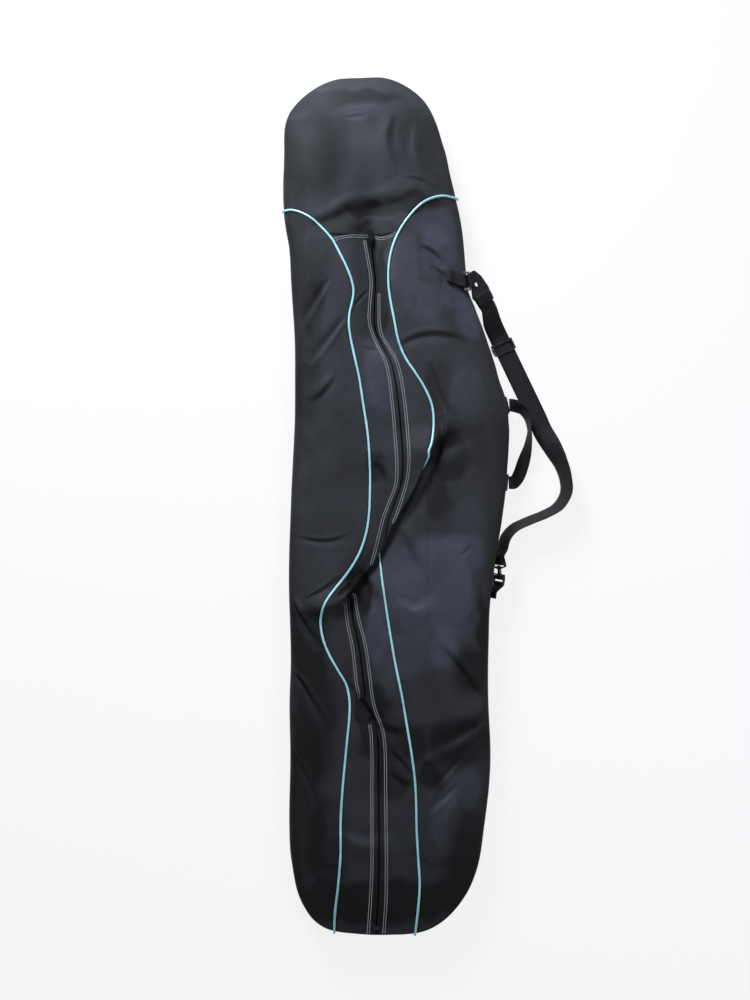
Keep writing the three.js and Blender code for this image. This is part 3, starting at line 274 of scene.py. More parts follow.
TOP_SEAM = [
    (-443, 582), (-391, 586), (-347, 589), (-294, 591), (-242, 592), (-190, 594), (-137, 595),
    (-94, 593), (-59, 588), (-7, 586), (46, 590), (99, 597), (143, 604),
]

# Height of the crown and depth of the zip's valley along the bag
CROWN_SHARES = [
    (-1.0, 0.66), (-0.93, 0.76), (-0.75, 0.84), (-0.45, 0.86), (-0.25, 0.86), (-0.05, 0.88),
    (0.12, 0.92), (0.26, 0.92), (0.36, 0.9), (0.62, 0.9), (0.68, 0.93), (0.80, 0.95),
    (0.92, 0.9), (1.0, 0.74),
]
VALLEY_SHARES = [
    (-1.0, 0.3), (-0.8, 0.5), (-0.5, 0.9), (-0.25, 1.0), (-0.1, 0.55), (0.1, 0.5), (0.3, 0.8),
    (0.37, 1.0), (0.63, 1.0), (0.68, 0.55), (0.75, 0.1), (0.80, 0.0), (1.0, 0.0),
]

# The pleat that hangs over the zip: how far round it turns along the bag, from 0 to 1
PLEAT_TURN = [
    (-0.285, 0.0), (-0.266, 0.2), (-0.250, 0.55), (-0.232, 0.82), (-0.205, 0.94),
    (0.020, 0.94), (0.060, 0.86), (0.088, 0.62), (0.112, 0.30), (0.150, 0.0),
]
PLEAT_BEND = 9.0
PLEAT_LAYER = 16.0
PLEAT_SPAN = 2 * PLEAT_BEND + PLEAT_LAYER
PLEAT_STEPS = 64

# Points of the cloth across the bag on each side of the pleat, and where its fold is
LAYER_POINTS = 260
FOLD_POINT = LAYER_POINTS + int(round(PLEAT_BEND / 2 / PLEAT_SPAN * PLEAT_STEPS))
NARROW_ROW = 40

# Distance from row to row between two places along the bag; later lines count first
END_ROW_STEP = 0.9
ROW_STEPS = [(-798, 798, 2.8), (-235, 120, 1.8), (535, 580, 1.2)]

# Creases of the cloth: half width and height in millimetres, middle line in thousandths
CREASES = [
    (3.0, -1.2, (-355, 877), (-127, 883)), (4.5, -2.2, (167, 729), (280, 726), (478, 699)),
    (15.0, -4.9, (-639, 620), (-456, 638), (-272, 659), (42, 669), (339, 685)),
    (11.0, 3.0, (74, 887), (17, 820), (98, 734)),
    (14.0, -2.7, (248, 873), (207, 797), (272, 729)),
    (6.0, -4.6, (-485, 499), (-619, 447), (-752, 389)),
    (6.0, -4.3, (-358, 409), (-517, 353), (-685, 300)),
    (8.0, 4.1, (-461, 273), (-575, 239), (-706, 216)),
    (5.0, -2.7, (-832, -98), (-653, -108), (-508, -109), (-336, -96)),
    (5.0, -3.0, (-753, -242), (-564, -215), (-392, -184)),
    (6.5, -10.0, (-917, -219), (-766, -287), (-607, -356)),
    (5.0, -9.1, (-924, -395), (-798, -422), (-689, -467), (-590, -521)),
    (5.5, -5.7, (-932, -556), (-782, -619), (-675, -681), (-612, -756)),
    (2.6, -2.6, (-295, 429), (-224, 455), (-119, 482)), (3.6, -2.4, (-206, 335), (-85, 327)),
    (9.0, -4.6, (-128, 69), (-87, 46), (-64, 18)),
    (5.0, -3.5, (-357, -467), (-294, -533), (-231, -604)),
    (6.0, -4.6, (-405, -422), (-273, -472), (-141, -516)),
    (5.0, -4.6, (-234, -517), (-158, -510)),
    (4.5, -3.8, (-463, -236), (-411, -220), (-342, -207)),
    (9.0, -5.7, (-264, -176), (-215, -210), (-158, -249)),
    (9.0, -5.9, (-150, -524), (-41, -537), (84, -547)),
    (5.5, -4.1, (-53, -575), (46, -606), (136, -638)),
    (9.0, -4.6, (-64, -629), (35, -651), (135, -665)),
    (6.0, -4.6, (296, 571), (408, 552), (519, 520)),
    (5.0, -3.8, (381, 523), (475, 506), (560, 477)),
    (8.0, -4.6, (69, 328), (235, 353), (407, 359), (579, 351), (741, 337)),
    (8.0, -5.7, (359, 296), (414, 236), (477, 176)),
    (7.0, -5.7, (411, 212), (449, 162), (437, 116), (390, 66)),
    (9.0, -4.6, (107, -82), (231, -20), (337, 37), (471, 116)),
    (12.0, -4.6, (58, -82), (139, -132), (245, -196)),
    (4.0, -2.3, (352, 90), (335, -20), (324, -156), (326, -335), (307, -468), (300, -552)),
    (3.0, -1.4, (441, 30), (500, 20)), (3.0, -1.4, (566, -150), (679, -126)),
    (15.0, 4.9, (587, -116), (650, -180), (661, -248), (595, -311)),
    (11.0, -5.9, (381, -346), (546, -401), (644, -442), (758, -491)),
    (10.0, -5.7, (789, -518), (635, -542), (481, -561), (208, -593)),
    (5.0, -3.0, (562, -599), (415, -638), (260, -682)),
    (5.0, -3.0, (524, -659), (395, -690), (258, -720)),
    (12.0, -3.2, (-772, 148), (-723, 90), (-777, 32)),
    (13.0, 4.1, (21, -244), (188, -272), (402, -246)),
    (14.0, 4.1, (-517, -754), (-268, -788), (26, -774)),
    (3.6, -6.8, (-315, -453), (-241, -483), (-166, -514), (-102, -564)),
    (9.0, -1.2, (-852, -872), (-607, -838), (-398, -853)),
    (9.0, -1.4, (109, -804), (291, -837), (486, -823)),
]

# Patches of painted light and shade on the cloth, lighter as painted sheen and darker as
# painted shade: middle in thousandths, half its extent across and along the bag in
# millimetres, and how much, in hundredths
NAP = [
    (-190, 865, 65, 49, 10), (-398, 931, 125, 27, -125), (-189, 889, 49, 23, 35),
    (11, 854, 38, 38, -35), (-597, 804, 65, 106, -95), (272, 824, 57, 76, -34),
    (352, 723, 46, 30, -20), (-347, 731, 57, 49, -15), (-432, 627, 65, 21, -75),
    (-63, 661, 65, 15, -120), (252, 674, 57, 17, -100), (-66, 620, 49, 15, -75),
    (154, 534, 32, 65, 60), (457, 618, 49, 38, 55), (330, 444, 46, 42, 50),
    (624, 532, 30, 57, 50), (700, 414, 27, 57, 75), (-593, 537, 30, 61, -60),
    (-41, 469, 13, 99, -120), (-798, 638, 23, 228, -50), (443, 556, 34, 53, 50),
    (548, 461, 19, 34, 50), (-650, 443, 27, 57, -75), (-499, 342, 38, 46, -5),
    (-689, 343, 27, 57, -50), (-712, 227, 34, 65, -55), (-54, 277, 38, 87, 70),
    (-133, 399, 19, 46, -30), (70, 328, 17, 38, 30), (-98, 143, 27, 46, 10),
    (-112, 56, 23, 34, -90), (452, 349, 57, 27, -15), (443, 238, 23, 57, -40),
    (666, 232, 38, 53, 35), (516, 90, 38, 49, -115), (758, 102, 27, 49, -35),
    (183, -14, 19, 57, -30), (388, -6, 27, 49, -75), (71, 96, 19, 76, 5), (513, -148, 65, 46, 95),
    (674, -67, 38, 57, 30), (303, -223, 110, 84, 85), (502, -269, 38, 84, 50),
    (53, -155, 23, 49, 10), (-145, -320, 25, 65, 75), (-292, -225, 25, 42, -160),
    (769, -315, 15, 76, -110), (156, -371, 76, 42, 35), (427, -359, 34, 42, 50),
    (642, -409, 38, 46, -110), (199, -469, 65, 42, -10), (586, -563, 57, 53, -95),
    (342, -575, 46, 46, -60), (-679, -151, 57, 76, 2), (-721, -331, 46, 87, -85),
    (-662, -509, 46, 114, -85), (-806, -706, 49, 152, -75), (-561, -816, 38, 114, -60),
    (-156, -480, 30, 46, -90), (-257, -484, 15, 34, -150), (-43, -560, 65, 42, -90),
    (0, -653, 34, 38, -85), (551, -673, 42, 42, 60), (287, -635, 23, 34, -90),
    (-206, -739, 76, 68, 15), (412, -738, 30, 57, 45), (-148, -861, 190, 68, -20),
    (-68, -915, 228, 42, -115), (-415, -444, 23, 57, -30), (-35, -445, 19, 30, 25),
    (-129, 597, 15, 11, -200), (605, -817, 49, 106, -80), (-199, -502, 19, 32, -180),
]


# Small tools on lines and tables

def plan(shares):
    """Millimetres of a line that is given in thousandths."""
    return np.asarray(shares, float) / 1000 * (HALF_WIDTH, HALF_LENGTH)


def unit(vectors):
    """A vector, or each of several, scaled to length 1."""
    vectors = np.asarray(vectors, float)
    return vectors / np.linalg.norm(vectors, axis=-1, keepdims=True)


def bell(value, middle, reach):
    """1 where a value is at a middle, fading to nothing beyond its reach."""
    return np.exp(-((value - middle) / reach) ** 2)


def smoothstep(value, low, high):
    share = np.clip((value - low) / (high - low), 0, 1)
    return share * share * (3 - 2 * share)


def from_table(table, at, soft=0.02):
    """A value read from a table of places and values, rounded between them."""
    places, values = np.asarray(sorted(table), float).T
    return sum(np.interp(at + step, places, values) for step in np.linspace(-soft, soft, 5)) / 5


def smooth_line(points, count, closed=False):
    """Points along a smooth line through the given points, in two or three dimensions."""
    points = np.asarray(points, float)
    total = len(points)
    spans = total if closed else total - 1
    at = np.linspace(0, spans, count + 1)
    if closed:
        at = at[:-1]
    low = np.minimum(at.astype(int), spans - 1)
    share = (at - low)[:, None]

    def pick(index):
        if closed:
            return points[index % total]
        chosen = points[np.clip(index, 0, total - 1)].copy()
        chosen[index < 0] = 2 * points[0] - points[1]
        chosen[index > total - 1] = 2 * points[-1] - points[-2]
        return chosen

    p0, p1, p2, p3 = (pick(low + step) for step in (-1, 0, 1, 2))
    d0, d1, d2 = (np.sqrt(np.maximum(np.linalg.norm(b - a, axis=1), 1e-9))[:, None]
                  for a, b in ((p0, p1), (p1, p2), (p2, p3)))
    start = ((p1 - p0) / d0 - (p2 - p0) / (d0 + d1) + (p2 - p1) / d1) * d1
    end = ((p2 - p1) / d1 - (p3 - p1) / (d1 + d2) + (p3 - p2) / d2) * d1
    square = 3 * (p2 - p1) - 2 * start - end
    cube = 2 * (p1 - p2) + start + end
    return p1 + start * share + square * share ** 2 + cube * share ** 3


def lengths_along(points, axis=0):
    """Lengths from the start of a line, or of each row or column of a grid."""
    steps = np.linalg.norm(np.diff(points, axis=axis), axis=-1)
    start = np.zeros_like(np.take(steps, [0], axis))
    return np.concatenate((start, np.cumsum(steps, axis=axis)), axis=axis)


def moved_out(outline, distance):
    """A closed outline moved out by a distance, the same at all its points or one for each."""
    along = unit(np.roll(outline, -1, axis=0) - np.roll(outline, 1, axis=0))
    return outline + np.stack((-along[:, 1], along[:, 0]), axis=1) * np.reshape(distance, (-1, 1))


def distance_to(line, x, y, closed=False):
    """Distance of points from a line in plan, and how far along the line they are."""
    start, end = (line, np.roll(line, -1, axis=0)) if closed else (line[:-1], line[1:])
    run = end - start
    square = (run ** 2).sum(axis=1)
    flat_x, flat_y = np.ravel(x), np.ravel(y)
    nearest, along = np.empty(flat_x.shape), np.empty(flat_x.shape)
    chunk = 4096
    for first in range(0, len(flat_x), chunk):
        part = slice(first, first + chunk)
        dx = flat_x[part, None] - start[:, 0]
        dy = flat_y[part, None] - start[:, 1]
        share = np.clip((dx * run[:, 0] + dy * run[:, 1]) / square, 0, 1)
        gap = (dx - run[:, 0] * share) ** 2 + (dy - run[:, 1] * share) ** 2
        best = gap.argmin(axis=1)
        rows = np.arange(len(best))
        nearest[part] = np.sqrt(gap[rows, best])
        along[part] = (best + share[rows, best]) / len(start)
    return nearest.reshape(np.shape(x)), along.reshape(np.shape(x))


def crossing(line, places, pick):
    """Where a closed outline crosses each place along the bag: its lowest or highest x."""
    start, end = line, np.roll(line, -1, axis=0)
    found = []
    for y in places:
        low = (start[:, 1] - y) * (end[:, 1] - y) <= 0
        low &= start[:, 1] != end[:, 1]
        a, b = start[low], end[low]
        xs = a[:, 0] + (b[:, 0] - a[:, 0]) * (y - a[:, 1]) / (b[:, 1] - a[:, 1])
        found.append(pick(xs) if len(xs) else np.nan)
    return np.array(found)


def x_on(line, y):
    """Where a line that runs down the bag is at a place along it."""
    order = np.argsort(line[:, 1])
    return np.interp(y, line[order, 1], line[order, 0])


def ripple(x, y, cell_x, cell_y, seed):
    """Soft random waves from -1 to 1, with cells of a given size."""
    table = np.random.RandomState(seed).uniform(-1, 1, (128, 512))
    u, v = np.asarray(x) / cell_x + 64, np.asarray(y) / cell_y + 256
    i, j = np.floor(u).astype(int), np.floor(v).astype(int)
    s, t = u - i, v - j
    s, t = s * s * s * (s * (6 * s - 15) + 10), t * t * t * (t * (6 * t - 15) + 10)
    i, j = i % 127, j % 511
    low = table[i, j] * (1 - s) + table[i + 1, j] * s
    high = table[i, j + 1] * (1 - s) + table[i + 1, j + 1] * s
    return low * (1 - t) + high * t


# The stuffed front

@lru_cache(maxsize=None)
def silhouette():
    return smooth_line(plan(SILHOUETTE), 528, closed=True)


@lru_cache(maxsize=None)
def plan_line(name):
    table = globals()[name]
    return smooth_line(plan(table), 40 * len(table))


def zip_middle(y):
    return x_on(plan_line("ZIP_MIDDLE"), y)


def resting_height(x, y):
    """Height of the stuffed front before it is creased."""
    inside = np.maximum(distance_to(silhouette(), x, y, closed=True)[0] - RIM_INSET, 0)
    rise = 1 - (1 - np.minimum(inside / DOME_REACH, 1)) ** DOME_POWER
    along = y / HALF_LENGTH
    crown = CROWN_HEIGHT * from_table(CROWN_SHARES, along)
    valley = VALLEY_DEPTH * from_table(VALLEY_SHARES, along)
    height = RIM_HEIGHT + (crown - RIM_HEIGHT) * rise
    return height - valley * bell(x, zip_middle(y), VALLEY_REACH) * rise, rise


def crease_profile(across, half_width):
    """A crease across its line: steep with a low lip on one side, gentle on the other."""
    share = across / half_width
    return bell(share, 0, np.where(share > 0, 0.6, 1.6)) - 0.32 * bell(share, 1.35, 0.7)


def side_of(line, x, y, along):
    """Which side of a line points are on: 1 to its left, -1 to its right."""
    place = np.minimum((along * (len(line) - 1)).astype(int), len(line) - 2)
    start, run = line[place], line[place + 1] - line[place]
    return np.sign(run[:, 0] * (y - start[:, 1]) - run[:, 1] * (x - start[:, 0]))


def front_height(x, y):
    """Height of the front with its creases and ripples."""
    height, rise = resting_height(x, y)
    size = bpy.context.scene.bag_sizes.crease_height
    calm = 1 - 0.6 * smoothstep(y, 500, 560)
    soft = 1.7 * ripple(x, y, 74, 92, 3) + 0.8 * calm * ripple(x + 0.5 * y, y - 0.4 * x, 34, 60, 5)
    soft += 0.2 * calm * ripple(x - 0.6 * y, y + 0.3 * x, 15, 34, 8)
    for half_width, depth, *points in CREASES:
        line = smooth_line(plan(points), 16)
        reach = np.ptp(line, axis=0) / 2 + 4 * half_width
        near = ((np.abs(x - line[:, 0].mean()) < reach[0])
                & (np.abs(y - line[:, 1].mean()) < reach[1]))
        if near.any():
            gap, along = distance_to(line, x[near], y[near])
            across = gap * side_of(line, x[near], y[near], along)
            ends = np.sin(math.pi * np.clip(along, 0, 1)) ** 0.8
            soft[near] += depth * ends * crease_profile(across, half_width * (0.7 + 0.6 * along))
    # Beside the slider's run the cloth lies flat
    flat = bell(x, zip_middle(y), 13)
    flat *= smoothstep(y, 286, 314) * (1 - smoothstep(y, 496, 520))
    return height + size * soft * smoothstep(rise, 0.0, 0.32) * (1 - flat)


def nap_tone(x, y):
    """How much lighter, up to 1, or darker, down to -1, the cloth is painted at a place: tone that differs at random,
    patches of painted light and shade, and painted shade beside the zip and near the rim.
    """
    wavy_x = x + 8 * ripple(x, y, 24, 30, 31)
    wavy_y = y + 10 * ripple(x, y, 28, 34, 32)
    tone = 0.10 * ripple(x, y, 40, 60, 33)
    for *middle, across, along, amount in NAP:
        middle_x, middle_y = plan(middle)
        gap = np.hypot((wavy_x - middle_x) / across, (wavy_y - middle_y) / along)
        tone = tone + amount / 100 * (1 - smoothstep(gap, 0.6, 1.2))
    # Painted shade: the cloth is darkened beside the zip, below the top seam, and within 20 mm of the rim, where the
    # front turns down
    band = 1 - smoothstep(np.abs(x - zip_middle(y)), 8.5, 12.5)
    rows = cloth_rows()
    from_rim = np.minimum(x - np.interp(y, rows["y"], rows["left"]),
                          np.interp(y, rows["y"], rows["right"]) - x)
    tone = tone - 0.55 * band * (y < TOP_SEAM_Y) - 0.45 * (1 - smoothstep(from_rim, 0, 20))
    return np.clip(tone, -1, 1)


def brush_nap(mesh):
    """Stores the cloth's random tone with its painted light and shade in the mesh, for the shell's finish."""
    points = np.empty(3 * len(mesh.vertices))
    mesh.vertices.foreach_get("co", points)
    x, y, _ = points.reshape(-1, 3).T * 1000
    layer = mesh.attributes.new("nap", "FLOAT", "POINT")
    layer.data.foreach_set("value", nap_tone(x, y))
    return mesh


def pleat_shape(turn):
    """Across and down of the pleat's cloth from where it leaves the upper layer."""
    length = np.linspace(0, PLEAT_SPAN, PLEAT_STEPS + 1)
    middle = (length[1:] + length[:-1]) / 2
    bend = np.minimum(middle, PLEAT_SPAN - middle) / PLEAT_BEND
    angle = math.pi * turn * np.clip(bend, 0, 1)
    step = length[1]
    across = np.concatenate(([0], np.cumsum(np.cos(angle)) * step))
    down = np.concatenate(([0], np.cumsum(np.sin(angle)) * step))
    return across, down, np.interp(PLEAT_BEND / 2, length, across)


def row_places():
    """Where along the bag the front's rows of points are."""
    places = [-HALF_LENGTH + RIM_INSET + 0.6]
    while places[-1] < HALF_LENGTH - RIM_INSET - 0.8:
        step = END_ROW_STEP
        for low, high, size in ROW_STEPS:
            if low < places[-1] < high:
                step = size
        places.append(places[-1] + step)
    places = np.array(places[:-1])
    under = np.abs(places - TOP_SEAM_Y).argmin()
    places[under:under + 2] = TOP_SEAM_Y - 0.3, TOP_SEAM_Y + 0.3
    return places


@lru_cache(maxsize=None)
def cloth_rows():
    """The front's cloth across the bag, row by row, with lengths along the cloth."""
    rim = moved_out(silhouette(), -RIM_INSET)
    places = row_places()
    left = crossing(rim, places, np.min)
    right = crossing(rim, places, np.max)
    edges = x_on(plan_line("FOLD_EDGE"), places)
    turns = from_table(PLEAT_TURN, places / HALF_LENGTH, 0.012)
    xs, drops = [], []
    for low, high, edge_x, turn in zip(left, right, edges, turns):
        across, down, edge = pleat_shape(turn)
        if high - low > NARROW_ROW:
            start = np.clip(edge_x - edge, low + 1, high - across[-1] - 1)
        else:
            start, across, down = low, across * 0, down * 0
        upper = np.linspace(low, start, LAYER_POINTS)
        lower = np.linspace(start + across[-1], high, LAYER_POINTS)
        lift = 0.5 * down[-1]
        xs.append(np.concatenate((upper, start + across[1:-1], lower)))
        drops.append(np.concatenate((
            lift * bell(0.8 * (start - upper), 0, 46), lift - down[1:-1],
            -lift * bell(0.8 * (lower - lower[0]), 0, 34))))
    xs, drops = np.array(xs), np.array(drops)
    ys = np.repeat(places[:, None], xs.shape[1], axis=1)
    heights = front_height(xs, ys) + drops
    lengths = lengths_along(np.stack((xs, heights), axis=2), 1)
    return {
        "y": places, "x": xs, "z": heights, "s": lengths, "turn": turns,
        "crease": lengths[:, FOLD_POINT], "left": left, "right": right,
    }


def cloth_length(row, x, layer):
    """Length along a row's cloth to a place on its upper or its lower layer."""
    rows = cloth_rows()
    xs, lengths = rows["x"][row], rows["s"][row]
    if rows["turn"][row] < 0.45:
        return np.interp(x, xs, lengths)
    if layer == "upper":
        return min(np.interp(x, xs[:LAYER_POINTS], lengths[:LAYER_POINTS]), rows["crease"][row])
    return np.interp(x, xs[-LAYER_POINTS:], lengths[-LAYER_POINTS:])


@lru_cache(maxsize=None)
def seam(upper_name, lower_name=None):
    """Length along the cloth to a seam, row by row, through the pleat where it hides there."""
    rows = cloth_rows()
    upper = plan_line(upper_name)
    places = rows["y"]
    if lower_name is None:
        return np.array([cloth_length(r, x_on(upper, y), "upper") for r, y in enumerate(places)])
    lower = plan_line(lower_name)
    vanish, emerge = upper[:, 1].min(), lower[:, 1].max()
    row = np.abs(places - emerge).argmin()
    hidden = cloth_length(row, x_on(lower, places[row]), "lower") - rows["crease"][row]
    found = []
    for r, y in enumerate(places):
        if y >= vanish:
            found.append(cloth_length(r, x_on(upper, y), "upper"))
        elif y <= emerge:
            found.append(cloth_length(r, x_on(lower, y), "lower"))
        else:
            share = (vanish - y) / (vanish - emerge)
            found.append(rows["crease"][r] + np.interp(
                share, (0, 0.88, 1), (0, min(2 * PLEAT_BEND + 12, hidden), hidden)))
    found = np.array(found) - rows["crease"]
    near = (places > emerge - 30) & (places < vanish + 30)
    for _ in range(8):
        found = np.where(near, np.convolve(found, (0.25, 0.5, 0.25), mode="same"), found)
    return found + rows["crease"]


@lru_cache(maxsize=None)
def seams():
    """The front's seams and edges, as lengths along the cloth."""
    rows = cloth_rows()
    left_rows = seam("LEFT_ROWS_UPPER", "LEFT_ROWS_LOWER")
    right_rows = seam("RIGHT_ROWS_UPPER", "RIGHT_ROWS_LOWER")
    # At both ends of its run the zip's middle is under the slider, which runs straight
    under_slider = (0.85 * bell(rows["y"], SLIDER_END, 25)
                    + 0.4 * bell(rows["y"], SLIDER_START, 14))
    return {
        "rim_left": rows["s"][:, 0],
        "piping_left": seam("LEFT_PIPING"),
        "rows_left": left_rows,
        "zip": (left_rows + right_rows) / 2 + under_slider,
        "rows_right": right_rows,
        "piping_right": seam("RIGHT_PIPING_UPPER", "RIGHT_PIPING_LOWER"),
        "rim_right": rows["s"][:, -1],
    }


def rows_between(low, high):
    places = cloth_rows()["y"]
    return np.nonzero((places >= low) & (places <= high))[0]


def on_cloth(row, length):
    """Point on a row's cloth at a length along it."""
    rows = cloth_rows()
    x = np.interp(length, rows["s"][row], rows["x"][row])
    z = np.interp(length, rows["s"][row], rows["z"][row])
    return np.stack((x, np.full_like(x, rows["y"][row]), z), axis=-1)


def on_rows(used, lengths):
    """One point on each of some rows' cloth, at its own length along it."""
    return np.array([on_cloth(r, lengths[r]) for r in used])


def height_at(x, y):
    """Height of the finished cloth at a place, away from the pleat."""
    rows = cloth_rows()
    row = int(np.abs(rows["y"] - y).argmin())
    return float(np.interp(x, rows["x"][row], rows["z"][row]))


# Meshes

def link(name, mesh):
    piece = bpy.data.objects.new(name, mesh)
    bpy.context.scene.collection.objects.link(piece)
    return piece


def make_mesh(name, points, faces, smooth=True):
    mesh = bpy.data.meshes.new(name)
    mesh.from_pydata((np.asarray(points, float) / 1000).tolist(), [], [list(f) for f in faces])
    mesh.validate()
    mesh.update()
    if smooth:
        mesh.shade_smooth()
    return mesh


def grid_faces(rows, columns, first=0, flip=False, wrap=False):
    """Faces of a grid of points, whose rows close into loops if it wraps."""
    r, c = np.meshgrid(np.arange(rows - 1), np.arange(columns if wrap else columns - 1),
                       indexing="ij")
    a = first + r * columns + c
    b = first + r * columns + (c + 1) % columns
    quads = np.stack((a, b, b + columns, a + columns), axis=-1).reshape(-1, 4)
    return quads[:, ::-1] if flip else quads


def facing(grid):
    """Normals of a grid of points, up where the grid's rows go along +Y and its columns +X."""
    normals = np.cross(np.gradient(grid, axis=1), np.gradient(grid, axis=0))
    return normals / np.maximum(np.linalg.norm(normals, axis=2), 1e-9)[..., None]


def cloth_sheet(name, grid, thickness, dips=(0, 0, 0, 0)):
    """A closed sheet of cloth under a grid of points, whose four edges turn down into seams."""
    normals = facing(grid)
    rows, columns = grid.shape[:2]
    cross, down = lengths_along(grid, 1), lengths_along(grid)
    dip = np.zeros((rows, columns))
    for share, away in zip(dips, (cross, cross[:, -1:] - cross, down, down[-1:] - down)):
        dip = np.maximum(dip, share * bell(away, 0, EDGE_REACH))
    outer = grid - normals * (EDGE_DROP * dip)[..., None]
    inner = outer - normals * thickness
    count = rows * columns
    points = np.concatenate((outer.reshape(-1, 3), inner.reshape(-1, 3)))
    ring = np.concatenate((
        np.arange(columns), np.arange(1, rows) * columns + columns - 1,
        (rows - 1) * columns + np.arange(columns - 2, -1, -1),
        np.arange(rows - 2, 0, -1) * columns))
    after = np.roll(ring, -1)
    rim = np.stack((ring, ring + count, after + count, after), axis=1)
    return make_mesh(name, points, np.concatenate((
        grid_faces(rows, columns), grid_faces(rows, columns, count, True), rim)))


def panel_grid(used, low, high, columns):
    """Points of a panel between two seams, closer together beside them."""
    spread = np.linspace(0, 1, columns)
    spread = 0.82 * spread + 0.18 * (1 - np.cos(math.pi * spread)) / 2
    return np.array([on_cloth(r, low[r] + (high[r] - low[r]) * spread) for r in used])


def tube(name, path, radii, sides=12):
    """A closed round cord along a path, with a radius at each of its points."""
    along = unit(np.gradient(path, axis=0))
    out = unit(np.cross(along, (0, 0, 1)))
    rise = np.cross(out, along)
    turn = np.arange(sides)[:, None] / sides * 2 * math.pi
    loops = (path[:, None] + radii[:, None, None] * (
        np.cos(turn) * out[:, None] + np.sin(turn) * rise[:, None]))
    faces = [*grid_faces(len(path), sides, wrap=True)]
    count = len(path) * sides
    for k in range(sides):
        m = (k + 1) % sides
        faces += [(count, m, k), (count + 1, count - sides + k, count - sides + m)]
    return make_mesh(name, np.concatenate((loops.reshape(-1, 3), path[:1], path[-1:])), faces)


# Materials

def material(name, color, roughness, **settings):
    """A material with its shader's sockets set."""
    made = bpy.data.materials.new(name)
    made.use_nodes = True
    sockets = made.node_tree.nodes["Principled BSDF"].inputs
    sockets["Base Color"].default_value = (*color, 1)
    sockets["Roughness"].default_value = roughness
    for socket, value in settings.items():
        sockets[socket.replace("_", " ")].default_value = value
    return made


def node(tree, kind, inputs=None, **settings):
    """A node with its inputs linked or set."""
    made = tree.nodes.new(kind)
    for key, value in settings.items():
        setattr(made, key, value)
    for key, value in (inputs or {}).items():
        if isinstance(value, bpy.types.NodeSocket):
            tree.links.new(value, made.inputs[key])
        else:
            made.inputs[key].default_value = value
    return made


def feed(tree, **sources):
    """Links values to the sockets of a material's shader."""
    sockets = tree.nodes["Principled BSDF"].inputs
    for socket, source in sources.items():
        tree.links.new(source, sockets[socket.replace("_", " ")])


def ramp(tree, source, *stops):
    """A colour that follows a value through stops of place and colour."""
    made = node(tree, "ShaderNodeValToRGB", {"Fac": source})
    elements = made.color_ramp.elements
    while len(elements) < len(stops):
        elements.new(0.5)
    for element, (place, color) in zip(elements, stops):
        element.position = place
        element.color = (*color, 1)
    return made.outputs["Color"]


def ridges(tree, place, pitch, direction, **values):
    """Waves that cross a surface a pitch apart."""
    return node(tree, "ShaderNodeTexWave", {"Vector": place, "Scale": 0.314 / pitch, **values},
                bands_direction=direction).outputs["Fac"]


def noise(tree, place, scale, detail=4.0):
    return node(tree, "ShaderNodeTexNoise", {"Vector": place, "Scale": scale,
                "Detail": detail}).outputs["Fac"]


def figure(tree, operation, a, b, **settings):
    """What a sum or another operation makes of two values."""
    return node(tree, "ShaderNodeMath", {0: a, 1: b}, operation=operation, **settings).outputs[0]


def between(tree, value, low, high, to_low, to_high):
    """A value from one range, moved to another."""
    return node(tree, "ShaderNodeMapRange", {"Value": value, "From Min": low, "From Max": high,
                "To Min": to_low, "To Max": to_high}).outputs["Result"]


def bump(tree, height, strength, distance, **values):
    return node(tree, "ShaderNodeBump", {"Height": height, "Strength": strength,
                "Distance": distance, **values}).outputs["Normal"]


def scaled(color, *factors):
    """A colour times one factor, or times a factor for each of its parts."""
    factors = factors * 3 if len(factors) == 1 else factors
    return tuple(part * factor for part, factor in zip(color, factors))


def weave_cloth(name, color, roughness, pitch, depth, nap=False, **settings):
    """Woven cloth: crossing threads, a broken tone, and on the shell the stored tone with painted light and shade."""
    made = material(name, color, roughness, **settings)
    tree = made.node_tree
    place = node(tree, "ShaderNodeTexCoord").outputs["Object"]
    warp, weft = (ridges(tree, place, pitch, axis, Distortion=0.6, Detail=1.0) for axis in "XY")
    threads = figure(tree, "MULTIPLY", warp, weft)
    broad, fine = noise(tree, place, 14.0), noise(tree, place, 420.0, 3.0)
    mixed = node(tree, "ShaderNodeMix", {"Factor": 0.5, 2: broad, 3: fine}, data_type="FLOAT")
    cloth = ramp(tree, mixed.outputs[0], (0.36, scaled(color, 0.78)), (0.64, scaled(color, 1.22)))
    # On the shell the colour is multiplied by painted light and shade: darker and warmer as painted shade, lighter and
    # bluer as painted sheen
    if nap:
        lie = node(tree, "ShaderNodeAttribute", attribute_name="nap").outputs["Fac"]
        lit = ramp(tree, between(tree, lie, -1.0, 1.0, 0.0, 1.0), (0.0, (0.12, 0.110, 0.076)),
                   (0.5, (0.47, 0.46, 0.385)), (1.0, (1.0, 0.985, 1.0)))
        cloth = node(tree, "ShaderNodeMix", {0: 1.0, 6: cloth, 7: lit}, data_type="RGBA",
                     blend_type="MULTIPLY").outputs[2]
    gap = figure(tree, "SUBTRACT", 0.3, threads, use_clamp=True)
    woven = node(tree, "ShaderNodeMix", {0: gap, 6: cloth, 7: (0.0, 0.0, 0.0, 1)},
                 data_type="RGBA").outputs[2]
    feed(tree, Base_Color=woven, Normal=bump(tree, threads, 0.35, depth),
         Roughness=between(tree, broad, 0.3, 0.7, roughness - 0.05, roughness + 0.06))
    return made


